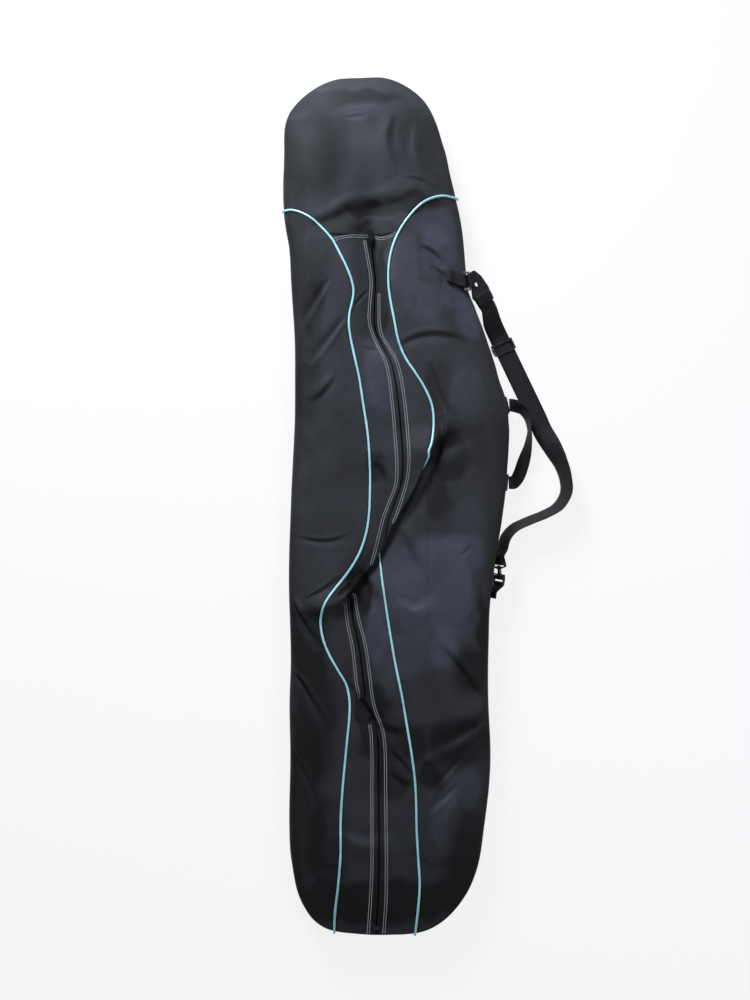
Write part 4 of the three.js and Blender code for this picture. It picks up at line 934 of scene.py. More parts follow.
def webbing_material(name, dark, light, roughness):
    """Ribbed webbing, with its ribs across the band by the piece's own UV map."""
    made = material(name, light, roughness, Sheen_Weight=0.03, Specular_IOR_Level=0.2)
    tree = made.node_tree
    place = node(tree, "ShaderNodeUVMap", uv_map="band").outputs["UV"]
    ribs = ridges(tree, place, 1.5, "Y", Distortion=0.4, Detail=1.0)
    rows = ridges(tree, place, 2.6, "X", Distortion=0.3)
    weave = figure(tree, "ADD", ribs, rows)
    feed(tree, Base_Color=ramp(tree, weave, (0.15, dark), (0.85, light)),
         Normal=bump(tree, weave, 0.6, 0.0003))
    return made


def hard_material(name, dark, light, roughness, grain, edge, **settings):
    """Moulded plastic or cast metal: fine grain, and softened, lightly worn edges."""
    made = material(name, light, roughness, **settings)
    tree = made.node_tree
    fine = noise(tree, node(tree, "ShaderNodeTexCoord").outputs["Object"], grain)
    soft = node(tree, "ShaderNodeBevel", {"Radius": edge}, samples=4).outputs["Normal"]
    feed(tree, Base_Color=ramp(tree, fine, (0.35, dark), (0.65, light)),
         Roughness=between(tree, fine, 0.3, 0.7, roughness - 0.08, roughness + 0.1),
         Normal=bump(tree, fine, 0.15, 0.0002, Normal=soft))
    return made


# Name, darkest and lightest colour, roughness, scale of the grain, softened edge, shine, metal
HARD_FINISHES = {
    "coil": ("zip black", (0.003, 0.003, 0.0033), (0.007, 0.007, 0.0077), 0.6, 300.0, 0.0001,
             0.08, 0.0),
    # The coil's turns: the slider's black plastic lightened, as painted light where the coil lies in the shade between
    # the flaps
    "teeth": ("zip teeth", (0.014, 0.014, 0.016), (0.032, 0.032, 0.035), 0.45, 300.0, 0.0001,
              0.5, 0.0),
    "plastic": ("black moulded plastic", (0.008, 0.008, 0.009), (0.016, 0.016, 0.018), 0.31,
                160.0, 0.0005, 0.5, 0.0),
    # Dark metal: the lower ring takes it as painted shade, being the same metal as the upper ring
    "dark metal": ("blackened metal", (0.010, 0.010, 0.011), (0.022, 0.022, 0.024), 0.45, 220.0,
                   0.0005, 0.5, 0.0),
    "metal": ("dull metal", (0.30, 0.30, 0.31), (0.52, 0.52, 0.54), 0.32, 220.0, 0.0005, 0.5,
              1.0),
}


@lru_cache(maxsize=None)
def finish(kind):
    """The material of a kind of piece."""
    colors = bpy.context.scene.bag_colors
    if kind == "shell":
        return weave_cloth("shell weave", scaled(colors.shell, 2.05, 2.05, 2.42), 0.66, 0.0009,
                           0.00006, nap=True, Sheen_Weight=0.04, Sheen_Roughness=0.5,
                           Specular_IOR_Level=0.2, Specular_Tint=(0.88, 0.92, 1.0, 1))
    if kind == "piping":
        return weave_cloth("aqua piping cloth", tuple(colors.piping), 0.30, 0.0008, 0.00004,
                           Sheen_Weight=0.45, Sheen_Roughness=0.35, Specular_IOR_Level=0.85)
    if kind == "zip":
        return weave_cloth("zip tape", (0.009, 0.009, 0.010), 0.6, 0.0007, 0.00005,
                           Specular_IOR_Level=0.25)
    if kind == "webbing":
        light = tuple(colors.webbing)
        return webbing_material("black webbing", scaled(light, 0.4), light, 0.6)
    if kind == "thread":
        return material("stitch thread", tuple(colors.thread), 0.55, Sheen_Weight=0.2)
    if kind == "black thread":
        return material("black thread", (0.03, 0.03, 0.032), 0.45, Sheen_Weight=0.1)
    *values, shine, metal = HARD_FINISHES[kind]
    return hard_material(*values, Specular_IOR_Level=shine, Metallic=metal)


def dress(piece, kind, body, slot_name, *nodes):
    """Gives a piece its finish, its body, its slot and the solids that it stands for."""
    piece.data.materials.clear()
    piece.data.materials.append(finish(kind))
    if nodes:
        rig.replaces(piece, *nodes)
    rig.ride(piece, body)
    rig.slot(piece, slot_name)
    return piece


# Pieces of the shell

def add_shell(name, mesh, fill):
    """Puts in a padded piece of the shell, for the solid of that name."""
    piece = dress(link(name + "_cloth", brush_nap(mesh)), "shell", "shell", "shell_fabric", name)
    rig.padded(piece, fill=fill)


def add_panel(name, low, high, bottom, top, columns, dips):
    """Puts in a panel of the front between two seams, cut off where they meet."""
    used = rows_between(bottom, top)
    used = used[(high - low)[used] > 1.0]
    grid = panel_grid(used, low, high, columns)
    add_shell(name, cloth_sheet(name, grid, PANEL_THICKNESS, dips), 0.25)


def zip_opening():
    """Half of the gap between the zip's two flaps, which part where the slider runs."""
    y = cloth_rows()["y"]
    return (1.0 + 4.2 * smoothstep(y, *PARTING) + 1.4 * bell(y, SLIDER_END, 24)
            + 1.4 * bell(y, SLIDER_START, 18))


class BAG_OT_front_panels(bpy.types.Operator):
    """Makes the five padded panels of the front, with the pleat over the zip"""
    bl_idname = "bag.front_panels"
    bl_label = "Front panels"

    def execute(self, context):
        lines = seams()
        left, right = lines["rim_left"], lines["rim_right"]
        piping_left, middle, piping_right = (
            np.clip(lines[name], left, right) for name in ("piping_left", "zip", "piping_right"))
        gap = zip_opening()
        left_top, right_top = PIPING_TOPS["left"], PIPING_TOPS["right"]
        places = cloth_rows()["y"]
        nose_left = np.where(places < left_top, piping_left + PIPING_ROOM, left)
        nose_right = np.where(places < right_top, piping_right - PIPING_ROOM, right)
        for name, low, high, bottom, top, columns, dips in (
                ("left_side_panel", left, piping_left - PIPING_ROOM,
                 -HALF_LENGTH, left_top, 60, (0.6, 1.6, 0, 1)),
                ("right_side_panel", piping_right + PIPING_ROOM, right,
                 -HALF_LENGTH, right_top, 74, (1.6, 0.6, 0, 1)),
                ("left_zip_panel", piping_left + PIPING_ROOM, middle - gap,
                 -HALF_LENGTH, TOP_SEAM_Y, 36, (1.6, 0.7, 0, 0.5)),
                ("right_zip_panel", middle + gap, piping_right - PIPING_ROOM,
                 -HALF_LENGTH, TOP_SEAM_Y, 36, (0.7, 1.6, 0, 0.5)),
                ("nose_panel", nose_left, nose_right,
                 TOP_SEAM_Y, HALF_LENGTH, 110, (0.8, 0.8, 0.5, 0.6))):
            add_panel(name, low, high, bottom, top, columns, dips)
        return {"FINISHED"}


def wall_inset(share):
    """How far the gusset stands inside the outline, from its foot at 0 to its seam at 1."""
    heights, insets = (0.0, 0.22, 0.61, 0.83, 1.0), (1.0, 0.45, 0.0, 0.08, 0.36)
    return BASE_INSET * np.interp(share, heights, insets)


class BAG_OT_gusset(bpy.types.Operator):
    """Makes the soft side wall round the bag"""
    bl_idname = "bag.gusset"
    bl_label = "Gusset"

    def execute(self, context):
        outline = silhouette()
        shares = np.array((0.0, 0.08, 0.22, 0.4, 0.55, 0.7, 0.83, 0.93, 1.0))
        heights = WALL_FOOT + (SEAM_HEIGHT - WALL_FOOT) * shares
        heights[-1] += 2.2
        around = np.arange(len(outline)) * 7.6
        outer, inner = [], []
        for inset, height in zip(wall_inset(shares), heights):
            swell = math.sin(math.pi * min(max(height / SEAM_HEIGHT, 0.02), 0.98))
            soft = 1.6 * (ripple(around, height, 44, 23, 11) - 1) * swell
            for loops, out in ((outer, soft - inset), (inner, -inset - PANEL_THICKNESS)):
                loop = moved_out(outline, out)
                loops.append(np.column_stack((loop, np.full(len(loop), height))))
        section = np.array(outer + inner[::-1]).transpose(1, 0, 2)
        around, count = section.shape[:2]
        faces = grid_faces(around + 1, count, wrap=True) % (around * count)
        add_shell("gusset", make_mesh("gusset", section.reshape(-1, 3), faces), 0.2)
        return {"FINISHED"}


class BAG_OT_back_panel(bpy.types.Operator):
    """Makes the flat panel that the bag lies on"""
    bl_idname = "bag.back_panel"
    bl_label = "Back panel"

    def execute(self, context):
        outline = moved_out(silhouette(), -9.4)
        places = np.linspace(outline[:, 1].min() + 0.3, outline[:, 1].max() - 0.3, 260)
        left = crossing(outline, places, np.min)
        right = crossing(outline, places, np.max)
        columns = 40
        xs = left[:, None] + (right - left)[:, None] * np.linspace(0, 1, columns)
        ys = np.repeat(places[:, None], columns, axis=1)
        grid = np.stack((xs, ys, np.full_like(xs, 2.4)), axis=2)
        add_shell("back_panel", cloth_sheet("back_panel", grid, 2.3), 0.3)
        return {"FINISHED"}


def above_seam(name, low, high, rise):
    """Points along a seam, standing off the cloth."""
    lengths = seams()[name]
    used = rows_between(low, high)
    reach = 1.5
    middle = on_rows(used, lengths)
    aside = on_rows(used, lengths + reach) - on_rows(used, lengths - reach)
    return middle + unit(np.cross(aside, np.gradient(middle, axis=0))) * rise


class BAG_OT_piping(bpy.types.Operator):
    """Makes the aqua piping along both side panels"""
    bl_idname = "bag.piping"
    bl_label = "Piping"

    def execute(self, context):
        radius = context.scene.bag_sizes.piping_width * 500
        for side, out, pick, lower in (("left", -1, np.min, "LEFT_PIPING"),
                                       ("right", 1, np.max, "RIGHT_PIPING_LOWER")):
            tail_x = x_on(plan_line(lower), -HALF_LENGTH)
            tail_y = crossing(silhouette()[:, ::-1], [tail_x], np.min)[0]
            path = above_seam("piping_" + side, tail_y + 6.5, PIPING_TOPS[side], 0.5)
            rim_x = crossing(silhouette(), path[-1:, 1], pick)[0]
            rim_y = path[-1, 1] + 0.8
            # Both ends turn down over the rim, into the gusset's seam
            over = [(rim_x - 1.0 * out, rim_y, RIM_HEIGHT - 1.0),
                    (rim_x + 0.6 * out, rim_y, RIM_HEIGHT - 7.0)]
            tail = [(tail_x, tail_y + 1.4, RIM_HEIGHT - 6.0),
                    (tail_x, tail_y + 2.2, RIM_HEIGHT - 0.6)]
            path = np.concatenate((tail, path, over))
            along = lengths_along(path)
            even = np.arange(0, along[-1], 3.0)
            path = np.stack([np.interp(even, along, path[:, k]) for k in range(3)], axis=1)
            pinch = 1 + 0.04 * ripple(even, even * 0, 9, 1, 21)
            if side == "right":
                # It comes out thin from under the pleat
                below = plan_line(lower)[:, 1].max() - path[:, 1]
                pinch *= 1 - 0.5 * (below > 0) * bell(below, 0, 22)
            mesh = tube(side + "_piping", path, radius * pinch)
            dress(link(side + "_piping_cord", mesh), "piping", "shell", "piping_fabric",
                  side + "_piping")
        return {"FINISHED"}


class BAG_OT_zip_tapes(bpy.types.Operator):
    """Makes the two tapes and the two coils of the zip"""
    bl_idname = "bag.zip_tapes"
    bl_label = "Zip tapes and coils"

    def execute(self, context):
        line = seams()["zip"]
        used = rows_between(-HALF_LENGTH + 13, 0.594 * HALF_LENGTH)
        for side, sign in (("left", -1), ("right", 1)):
            low, high = sorted((sign * 1.2, sign * 12.0))
            grid = panel_grid(used, line + low, line + high, 5)
            mesh = cloth_sheet("zip_tape_" + side, grid - facing(grid) * 3.2, 0.9)
            dress(link("zip_tape_%s_cloth" % side, mesh), "zip", "shell", "zip_tape",
                  "zip_tape_" + side)
            middle = on_rows(used, line + sign * 2.6) - (0, 0, 2.3)
            piece = lay_stitches("zip_coil_%s_turns" % side, [middle], Step=0.0016,
                                 Length=0.00115, Across=0.0032, Thickness=0.0019)
            dress(piece, "teeth", "shell", "zip_coil", "zip_coil_" + side)
        return {"FINISHED"}


# Stitches

def stitch_tree():
    """Geometry nodes that lay a stitch or a zip tooth at every step along a line."""
    tree = bpy.data.node_groups.new("stitches along a line", "GeometryNodeTree")
    face = tree.interface
    face.new_socket("Geometry", in_out="INPUT", socket_type="NodeSocketGeometry")
    for label in ("Step", "Length", "Across", "Thickness"):
        face.new_socket(label, in_out="INPUT", socket_type="NodeSocketFloat")
    face.new_socket("Geometry", in_out="OUTPUT", socket_type="NodeSocketGeometry")
    start = tree.nodes.new("NodeGroupInput").outputs
    curve = node(tree, "GeometryNodeMeshToCurve", {"Mesh": start["Geometry"]})
    points = node(tree, "GeometryNodeCurveToPoints", {
        "Curve": curve.outputs["Curve"], "Length": start["Step"]}, mode="LENGTH")
    turn = node(tree, "FunctionNodeAlignRotationToVector", {
        "Vector": points.outputs["Tangent"]}, axis="Y")
    stitch = node(tree, "GeometryNodeMeshUVSphere", {"Segments": 6, "Rings": 5, "Radius": 0.5})
    size = node(tree, "ShaderNodeCombineXYZ", {
        "X": start["Across"], "Y": start["Length"], "Z": start["Thickness"]})
    laid = node(tree, "GeometryNodeInstanceOnPoints", {
        "Points": points.outputs["Points"], "Instance": stitch.outputs["Mesh"],
        "Rotation": turn.outputs["Rotation"], "Scale": size.outputs["Vector"]})
    real = node(tree, "GeometryNodeRealizeInstances", {"Geometry": laid.outputs["Instances"]})
    smooth = node(tree, "GeometryNodeSetShadeSmooth", {"Geometry": real.outputs["Geometry"]})
    node(tree, "NodeGroupOutput", {"Geometry": smooth.outputs["Geometry"]})
    return tree


def lay_stitches(name, paths, **values):
    """Stitches or zip teeth along several paths, as one plain mesh."""
    tree = bpy.data.node_groups.get("stitches along a line") or stitch_tree()
    edges, first = [], 0
    for path in paths:
        edges += [(first + i, first + i + 1) for i in range(len(path) - 1)]
        first += len(path)
    mesh = bpy.data.meshes.new(name + "_lines")
    mesh.from_pydata((np.concatenate(paths) / 1000).tolist(), edges, [])
    lines = link(name + "_lines", mesh)
    modifier = lines.modifiers.new("stitches", "NODES")
    modifier.node_group = tree
    for item in tree.interface.items_tree:
        if item.in_out == "INPUT" and item.name in values:
            modifier[item.identifier] = values[item.name]
    lines.update_tag()
    graph = bpy.context.evaluated_depsgraph_get()
    made = bpy.data.meshes.new_from_object(lines.evaluated_get(graph))
    made.name = name
    bpy.data.objects.remove(lines)
    return link(name, made)


def sew(name, paths, thickness):
    """Puts in rows of black stitches."""
    piece = lay_stitches(name, paths, Step=0.0026, Length=0.0021, Across=thickness,
                         Thickness=thickness)
    dress(piece, "black thread", "shell", "webbing")


class BAG_OT_stitches(bpy.types.Operator):
    """Lays the grey stitches beside the zip and under the nose panel"""
    bl_idname = "bag.stitches"
    bl_label = "Stitches"

    def execute(self, context):
        sizes = context.scene.bag_sizes
        lines = seams()
        places = cloth_rows()["y"]
        used = rows_between(-HALF_LENGTH + 10, 0.590 * HALF_LENGTH)
        paths = []
        for name, out, at_end in (("left", -1, 1.0), ("right", 1, 2.3)):
            aside = 1.2 * smoothstep(places, *PARTING) + at_end * bell(places, SLIDER_END, 24)
            vanish = plan_line(name.upper() + "_ROWS_UPPER")[:, 1].min()
            emerge = plan_line(name.upper() + "_ROWS_LOWER")[:, 1].max()
            # The right flap rolls under beside the slider's run, and hides its stitches there
            shown = places[used] < (HALF_LENGTH if out < 0 else 0.462 * HALF_LENGTH)
            # and a fold across the lower half hides a short stretch of the left ones
            gap = (-0.467 * HALF_LENGTH, -0.525 * HALF_LENGTH) if out < 0 else (emerge, emerge)
            for part in (used[(places[used] > vanish) & shown],
                         used[(places[used] < emerge) & (places[used] > gap[0])],
                         used[places[used] < gap[1]]):
                if len(part) > 1:
                    for side in (-2.1, 2.1):
                        lengths = lines["rows_" + name] + side + out * aside
                        paths.append(on_rows(part, lengths) + (0, 0, 0.3))
        line = plan_line("TOP_SEAM")
        left = x_on(plan_line("LEFT_PIPING"), 0.6 * HALF_LENGTH) + 6
        right = x_on(plan_line("RIGHT_PIPING_UPPER"), 0.6 * HALF_LENGTH) - 5
        line = line[(line[:, 0] > left) & (line[:, 0] < right)]
        for shift in (2.0, 6.2):
            row = line + (0, shift)
            paths.append(np.column_stack((row, [height_at(x, y) + 0.4 for x, y in row])))
        piece = lay_stitches("zip_stitches", paths, Step=sizes.stitch_step,
                             Length=sizes.stitch_length, Across=0.0012, Thickness=0.0011)
        dress(piece, "thread", "shell", "webbing")
        return {"FINISHED"}


# Webbing

def add_band(name, body, middles, acrosses, width, thickness, per_span=8):
    """Puts in a flat band of webbing along a smooth path, with a UV map along the band."""
    middles, acrosses = np.asarray(middles, float), np.asarray(acrosses, float)
    count = per_span * (len(middles) - 1)
    path = smooth_line(middles, count)
    along = unit(np.gradient(path, axis=0))
    place = np.linspace(0, len(acrosses) - 1, count + 1)
    low = np.minimum(place.astype(int), len(acrosses) - 2)
    share = (place - low)[:, None]
    across = acrosses[low] * (1 - share) + acrosses[low + 1] * share
    across = unit(across - along * (across * along).sum(axis=1)[:, None])
    normal = np.cross(across, along)
    spread = np.linspace(-1, 1, 9)
    half = thickness / 2 * np.maximum(np.sqrt(1 - np.abs(spread) ** 8), 0.25)
    section = np.concatenate((np.column_stack((spread * width / 2, half)),
                              np.column_stack((spread * width / 2, -half))[::-1]))
    loops = (path[:, None] + section[None, :, :1] * across[:, None]
             + section[None, :, 1:] * normal[:, None])
    sides = len(section)
    last = (len(loops) - 1) * sides
    faces = [*grid_faces(len(loops), sides, wrap=True), range(sides),
             range(last + sides - 1, last - 1, -1)]
    mesh = make_mesh(name, loops.reshape(-1, 3), faces)
    lengths = lengths_along(path)
    layer = mesh.uv_layers.new(name="band")
    for loop in mesh.loops:
        station, side = divmod(loop.vertex_index, sides)
        layer.data[loop.index].uv = (section[side, 0], lengths[station])
    turn_outward(mesh)
    dress(link(name + "_webbing", mesh), "webbing", body, "webbing", name)


def turn_outward(mesh):
    """Turns a closed mesh's faces outward."""
    work = bmesh.new()
    work.from_mesh(mesh)
    bmesh.ops.recalc_face_normals(work, faces=work.faces)
    work.to_mesh(mesh)
    work.free()


# The upper ring's inner bar and the lower swivel's stem, the line from one to the other, and for
# each of the two hooks its directions outward and square to its flat side
UPPER_BAR = np.array((0.675 * HALF_WIDTH, 0.491 * HALF_LENGTH, 59.6))
LOWER_STEM = np.array((0.948 * HALF_WIDTH, -0.182 * HALF_LENGTH, 22.5))
SWING = unit(LOWER_STEM - UPPER_BAR)
UPPER_OUT = np.array((0.9, 0, -0.42))
UPPER_OUT = unit(UPPER_OUT - SWING * UPPER_OUT.dot(SWING))
UPPER_NORMAL = -np.cross(SWING, UPPER_OUT)
LOWER_OUT = np.array((math.cos(math.radians(66)), 0, math.sin(math.radians(66))))
LOWER_OUT = unit(LOWER_OUT - SWING * LOWER_OUT.dot(SWING))
LOWER_NORMAL = -np.cross(LOWER_OUT, SWING)

# Sizes of the rings, hooks and patches, in millimetres
RING_PITCH = 13.5
JAW_ROOM = BAR_SIZE / 2 + 1.2
JAW_WALL = 2.6
HEAD_LEFT = RING_PITCH + JAW_ROOM + JAW_WALL / 2
HEAD_SIZE = 38.0
SLOT_EDGE = 4.0
EYE_BAR = 4.0
PATCH_THICKNESS = 1.6

# Middle of the strap: places in shares of half the width and length, and roll in degrees
STRAP_ROUTE = [
    (0.950, 0.404, 0), (1.006, 0.3786, 0), (1.332, 0.182, 0), (1.386, 0.145, 8),
    (1.459, 0.105, 34), (1.523, 0.066, 58), (1.560, 0.030, 66), (1.562, -0.004, 66),
    (1.490, -0.036, 66), (1.373, -0.054, 66), (1.218, -0.070, 66), (1.090, -0.086, 66),
    (1.015, -0.108, 66), (0.982, -0.134, 66),
]
# Middle of the handle: places in the same shares, height in shares of its width, and roll
HANDLE_ROUTE = [
    (1.104, 0.205, 0.92, 6), (1.150, 0.203, 0.62, 30), (1.205, 0.195, 0.56, 50),
    (1.245, 0.176, 0.56, 70), (1.258, 0.146, 0.56, 84), (1.241, 0.108, 0.48, 62),
    (1.204, 0.072, 0.30, 26), (1.156, 0.038, 0.30, 8), (1.104, 0.022, 0.66, 0),
]


class BAG_OT_shoulder_strap(bpy.types.Operator):
    """Makes the shoulder strap, with its two sewn-back ends"""
    bl_idname = "bag.shoulder_strap"
    bl_label = "Shoulder strap"

    def execute(self, context):
        layer = HOOK_THICKNESS / 2 + 0.4 + STRAP_THICKNESS / 2
        edge_start = np.array((HEAD_LEFT + 1.08 * HEAD_SIZE, 0.58 * HEAD_SIZE))
        edge_end = np.array((HEAD_LEFT + 0.14 * HEAD_SIZE, 1.05 * HEAD_SIZE))
        across = unit(edge_start - edge_end)
        away = np.array((-across[1], across[0]))
        middle = (edge_start + edge_end) / 2
        wrap = [(3.2, -0.7), (1.0, -1), (-1.75, -0.9), (-2.15, 0), (-1.75, 0.9), (0.3, 1),
                (3.0, 0.75), (6.0, 0.5)]
        middles, acrosses = [], []
        for out, off in wrap:
            flat = middle + away * out * SLOT_EDGE
            middles.append(UPPER_BAR + UPPER_OUT * flat[0] + SWING * flat[1]
                           + UPPER_NORMAL * off * layer)
            acrosses.append(UPPER_OUT * across[0] + SWING * across[1])
        route = STRAP_ROUTE[:2]
        start, end = np.array(STRAP_ROUTE[1]), np.array(STRAP_ROUTE[2])
        route += [tuple(start + (end - start) * t) for t in (0.05, 0.25, 0.5, 0.75, 0.95)]
        route += STRAP_ROUTE[2:]
        places = np.array([(x * HALF_WIDTH, y * HALF_LENGTH) for x, y, _ in route])
        for i, (x, y, roll) in enumerate(route):
            run = unit(places[min(i + 1, len(places) - 1)] - places[max(i - 1, 0)])
            angle = math.radians(roll)
            acrosses.append(np.array((-run[1] * math.cos(angle), run[0] * math.cos(angle),
                                      math.sin(angle))))
            lift = 18.4 if i == 0 else STRAP_FLOOR
            lift = max(lift, 0.6 + STRAP_THICKNESS + STRAP_WIDTH / 2 * math.sin(angle))
            middles.append(np.array((*places[i], lift)))
        bar = 0.5 + 5 + 6 + EYE_BAR / 2
        for out, off in ((2.8, -0.8), (1.2, -1), (-0.6, -0.95), (-1.12, 0), (-0.6, 0.95),
                         (0.8, 1), (2.2, 0.75)):
            middles.append(LOWER_STEM - SWING * (bar + out * EYE_BAR) + LOWER_NORMAL * off * layer)
            acrosses.append(LOWER_OUT)
        add_band("shoulder_strap", "strap", middles, acrosses, STRAP_WIDTH, STRAP_THICKNESS)
        return {"FINISHED"}


class BAG_OT_carry_handle(bpy.types.Operator):
    """Makes the carry handle and the patches that its ends leave from"""
    bl_idname = "bag.carry_handle"
    bl_label = "Carry handle"

    def execute(self, context):
        ends = []
        for y in HANDLE_ENDS.values():
            faces = [crossing(silhouette(), [y + d], np.max)[0]
                     for d in (-HANDLE_WIDTH / 2, 0, HANDLE_WIDTH / 2)]
            ends.append(np.array((max(faces) + 0.4 + PATCH_THICKNESS + 0.95, y, HANDLE_HEIGHT)))
        upper, lower = ends
        hinge = unit(upper - lower)
        middles = [np.array((x * HALF_WIDTH, y * HALF_LENGTH, z * HANDLE_WIDTH))
                   for x, y, z, _ in HANDLE_ROUTE]
        acrosses = []
        for i, (_, _, _, roll) in enumerate(HANDLE_ROUTE):
            before, after = middles[max(i - 1, 0)], middles[min(i + 1, len(middles) - 1)]
            out = unit((before[1] - after[1], after[0] - before[0], 0))
            angle = math.radians(roll)
            acrosses.append(out * math.cos(angle) + np.array((0, 0, math.sin(angle))))
        acrosses[0], acrosses[-1] = unit(acrosses[0] + hinge), unit(acrosses[-1] - hinge)
        step = np.array((HANDLE_THICKNESS, 0, 0))
        middles = [upper, upper + step] + middles + [lower + step, lower]
        acrosses = [hinge, hinge] + acrosses + [-hinge, -hinge]
        add_band("carry_handle", "handle", middles, acrosses, HANDLE_WIDTH, HANDLE_THICKNESS)
        for name, y in HANDLE_ENDS.items():
            make_patch("handle_patch_" + name, y)
        return {"FINISHED"}


def make_patch(name, middle):
    """A patch of webbing on the gusset, with a box of stitches."""
    places = np.linspace(middle - 16, middle + 16, 7)
    face = crossing(silhouette(), places, np.max)
    path = np.column_stack((face + 0.4 + PATCH_THICKNESS / 2, places, np.full(7, HANDLE_HEIGHT)))
    add_band(name, "shell", path, [(0, 0, 1)] * 7, 16.0, PATCH_THICKNESS, per_span=4)
    out = path[:, 0] + 0.9
    corners = [(1, -5.5), (5, -5.5), (5, 5.5), (1, 5.5), (1, -5.5)]
    box, cross, other = (
        np.array([(out[i], places[i], HANDLE_HEIGHT + z) for i, z in line])
        for line in (corners, [(1, -5.5), (3, 0), (5, 5.5)], [(1, 5.5), (3, 0), (5, -5.5)]))
    sew(name + "_stitches", [box, cross, other], 0.0008)


def recolor(node_name, kind):
    """Gives a solid of the model a finish of its own."""
    piece = frame["nodes"][node_name]
    made = finish(kind)
    for entry in piece.material_slots:
        entry.material = made


class BAG_OT_tabs(bpy.types.Operator):
    """Makes the two webbing tabs that hold the rings"""
    bl_idname = "bag.tabs"
    bl_label = "Ring tabs"

    def execute(self, context):
        def above_cloth(back):
            places = [UPPER_BAR - UPPER_OUT * back + SWING * (across - TAB_LEAN * back)
                      for across in (-13, 0, 13)]
            return min((p[2] - height_at(p[0], p[1])) * abs(UPPER_NORMAL[2]) for p in places)

        make_tab("upper_tab", UPPER_BAR, UPPER_OUT, SWING, UPPER_NORMAL, above_cloth, TAB_LEAN)
        foot = LOWER_STEM + SWING * 9.0
        outline = silhouette()
        far = foot[1] - TAB_LENGTH - RING_PITCH
        faces = crossing(outline, [foot[1], far], np.max)
        down = unit((faces[1] - faces[0], far - foot[1], 0))
        bar = foot + down * (RING_PITCH + JAW_ROOM + JAW_WALL)
        rise = unit(LOWER_OUT - down * LOWER_OUT.dot(down))
        off = np.cross(-down, rise)

        def off_gusset(back):
            places = [bar + down * back + rise * across for across in (-13, 0, 13)]
            return min((x - crossing(outline, [y], np.max)[0] + wall_inset(
                (z - WALL_FOOT) / (SEAM_HEIGHT - WALL_FOOT))) * abs(off[0]) for x, y, z in places)

        make_tab("lower_tab", bar, -down, rise, -off, off_gusset)
        return {"FINISHED"}


def make_tab(name, bar, out, across, toward, distance, lean=0.0):
    """A tab of two layers: from its sewn end, round a ring's bar, and back."""
    seat = 0.7 + STRAP_THICKNESS
    shares = (1.0, 0.8, 0.62, 0.46)
    middle = [min(1, share / 0.62) * (distance(share * TAB_LENGTH) - seat) for share in shares]
    radius = BAR_SIZE * 0.7071 + 0.5 + STRAP_THICKNESS / 2
    half = STRAP_THICKNESS / 2 + 0.05
    upper = [(-share * TAB_LENGTH, m - half) for share, m in zip(shares, middle)]
    lower = [(-share * TAB_LENGTH, m + half) for share, m in zip(shares, middle)][::-1]
    loop = [(-0.6 * radius, -0.85 * radius), (0.2 * radius, -0.98 * radius), (radius, 0),
            (0.2 * radius, 0.98 * radius), (-0.6 * radius, 0.85 * radius)]
    path = [bar + out * u + across * lean * min(u, 0) + toward * w
            for u, w in upper + loop + lower]
    add_band(name, "shell", path, [across] * len(path), TAB_WIDTH, STRAP_THICKNESS, per_span=5)
    rows = []
    for share in (0.93, 0.66):
        lift = np.interp(share, shares[::-1], middle[::-1]) - half - 1.0
        ends = [bar - out * share * TAB_LENGTH + toward * lift
                + across * (side - lean * share * TAB_LENGTH) for side in (-11.5, 11.5)]
        rows.append(np.linspace(ends[0], ends[1], 12))
    sew(name + "_stitches", rows, 0.0009)


class BAG_OT_fittings(bpy.types.Operator):
    """Finishes the rings, hooks, gates, swivel eye, adjuster, slider, pull and stop"""
    bl_idname = "bag.fittings"
    bl_label = "Fittings"

    def execute(self, context):
        kinds = {
            "metal": ("upper_ring",),
            # The lower ring is darkened as painted shade; it is the same metal as the upper ring
            "dark metal": ("lower_ring", "zip_bottom_stop"),
            "plastic": ("upper_hook", "upper_hook_gate", "lower_hook", "lower_hook_gate",
                        "lower_swivel_eye", "strap_adjuster"),
            "coil": ("zip_slider", "zip_pull"),
        }
        for kind, names in kinds.items():
            for name in names:
                recolor(name, kind)
        return {"FINISHED"}


class BAG_OT_stage(bpy.types.Operator):
    """Sets the floor, the lights, the background and the camera"""
    bl_idname = "bag.stage"
    bl_label = "Stage"

    def execute(self, context):
        stage = context.scene.bag_stage
        add_camera(context)
        add_floor(stage)
        add_light("window light", (-0.8, 2.0, 1.05), (0, 0.0, 0), 0.9, stage.key_power,
                  (0.84, 0.90, 1.0))
        add_light("ceiling light", (1.2, -0.1, 1.9), (0, -0.2, 0), 1.2, stage.fill_power,
                  (0.86, 0.90, 1.0))
        set_world(context, stage.sky)
        context.scene.view_settings.view_transform = "Standard"
        return {"FINISHED"}


def add_camera(context):
    right = Vector((0.99985, -0.01745, 0.0)).normalized()
    forward = Vector((0.000913, 0.052328, -0.99863)).normalized()
    up = right.cross(forward)
    data = bpy.data.cameras.new("camera")
    data.sensor_fit = "VERTICAL"
    data.sensor_height = 36.0
    data.lens = 26.0
    data.clip_start = 0.01
    camera = bpy.data.objects.new("camera", data)
    turn = Matrix((right, up, -forward)).transposed().to_4x4()
    camera.matrix_world = Matrix.Translation((-0.03070, -0.08534, 1.42577)) @ turn
    context.scene.collection.objects.link(camera)
    context.scene.camera = camera


def add_light(name, place, aim, size, power, color):
    data = bpy.data.lights.new(name, "AREA")
    data.color = color
    data.shape = "DISK"
    data.size = size
    data.energy = power
    light = bpy.data.objects.new(name, data)
    light.location = place
    light.rotation_euler = (Vector(aim) - Vector(place)).to_track_quat("-Z", "Y").to_euler()
    bpy.context.scene.collection.objects.link(light)


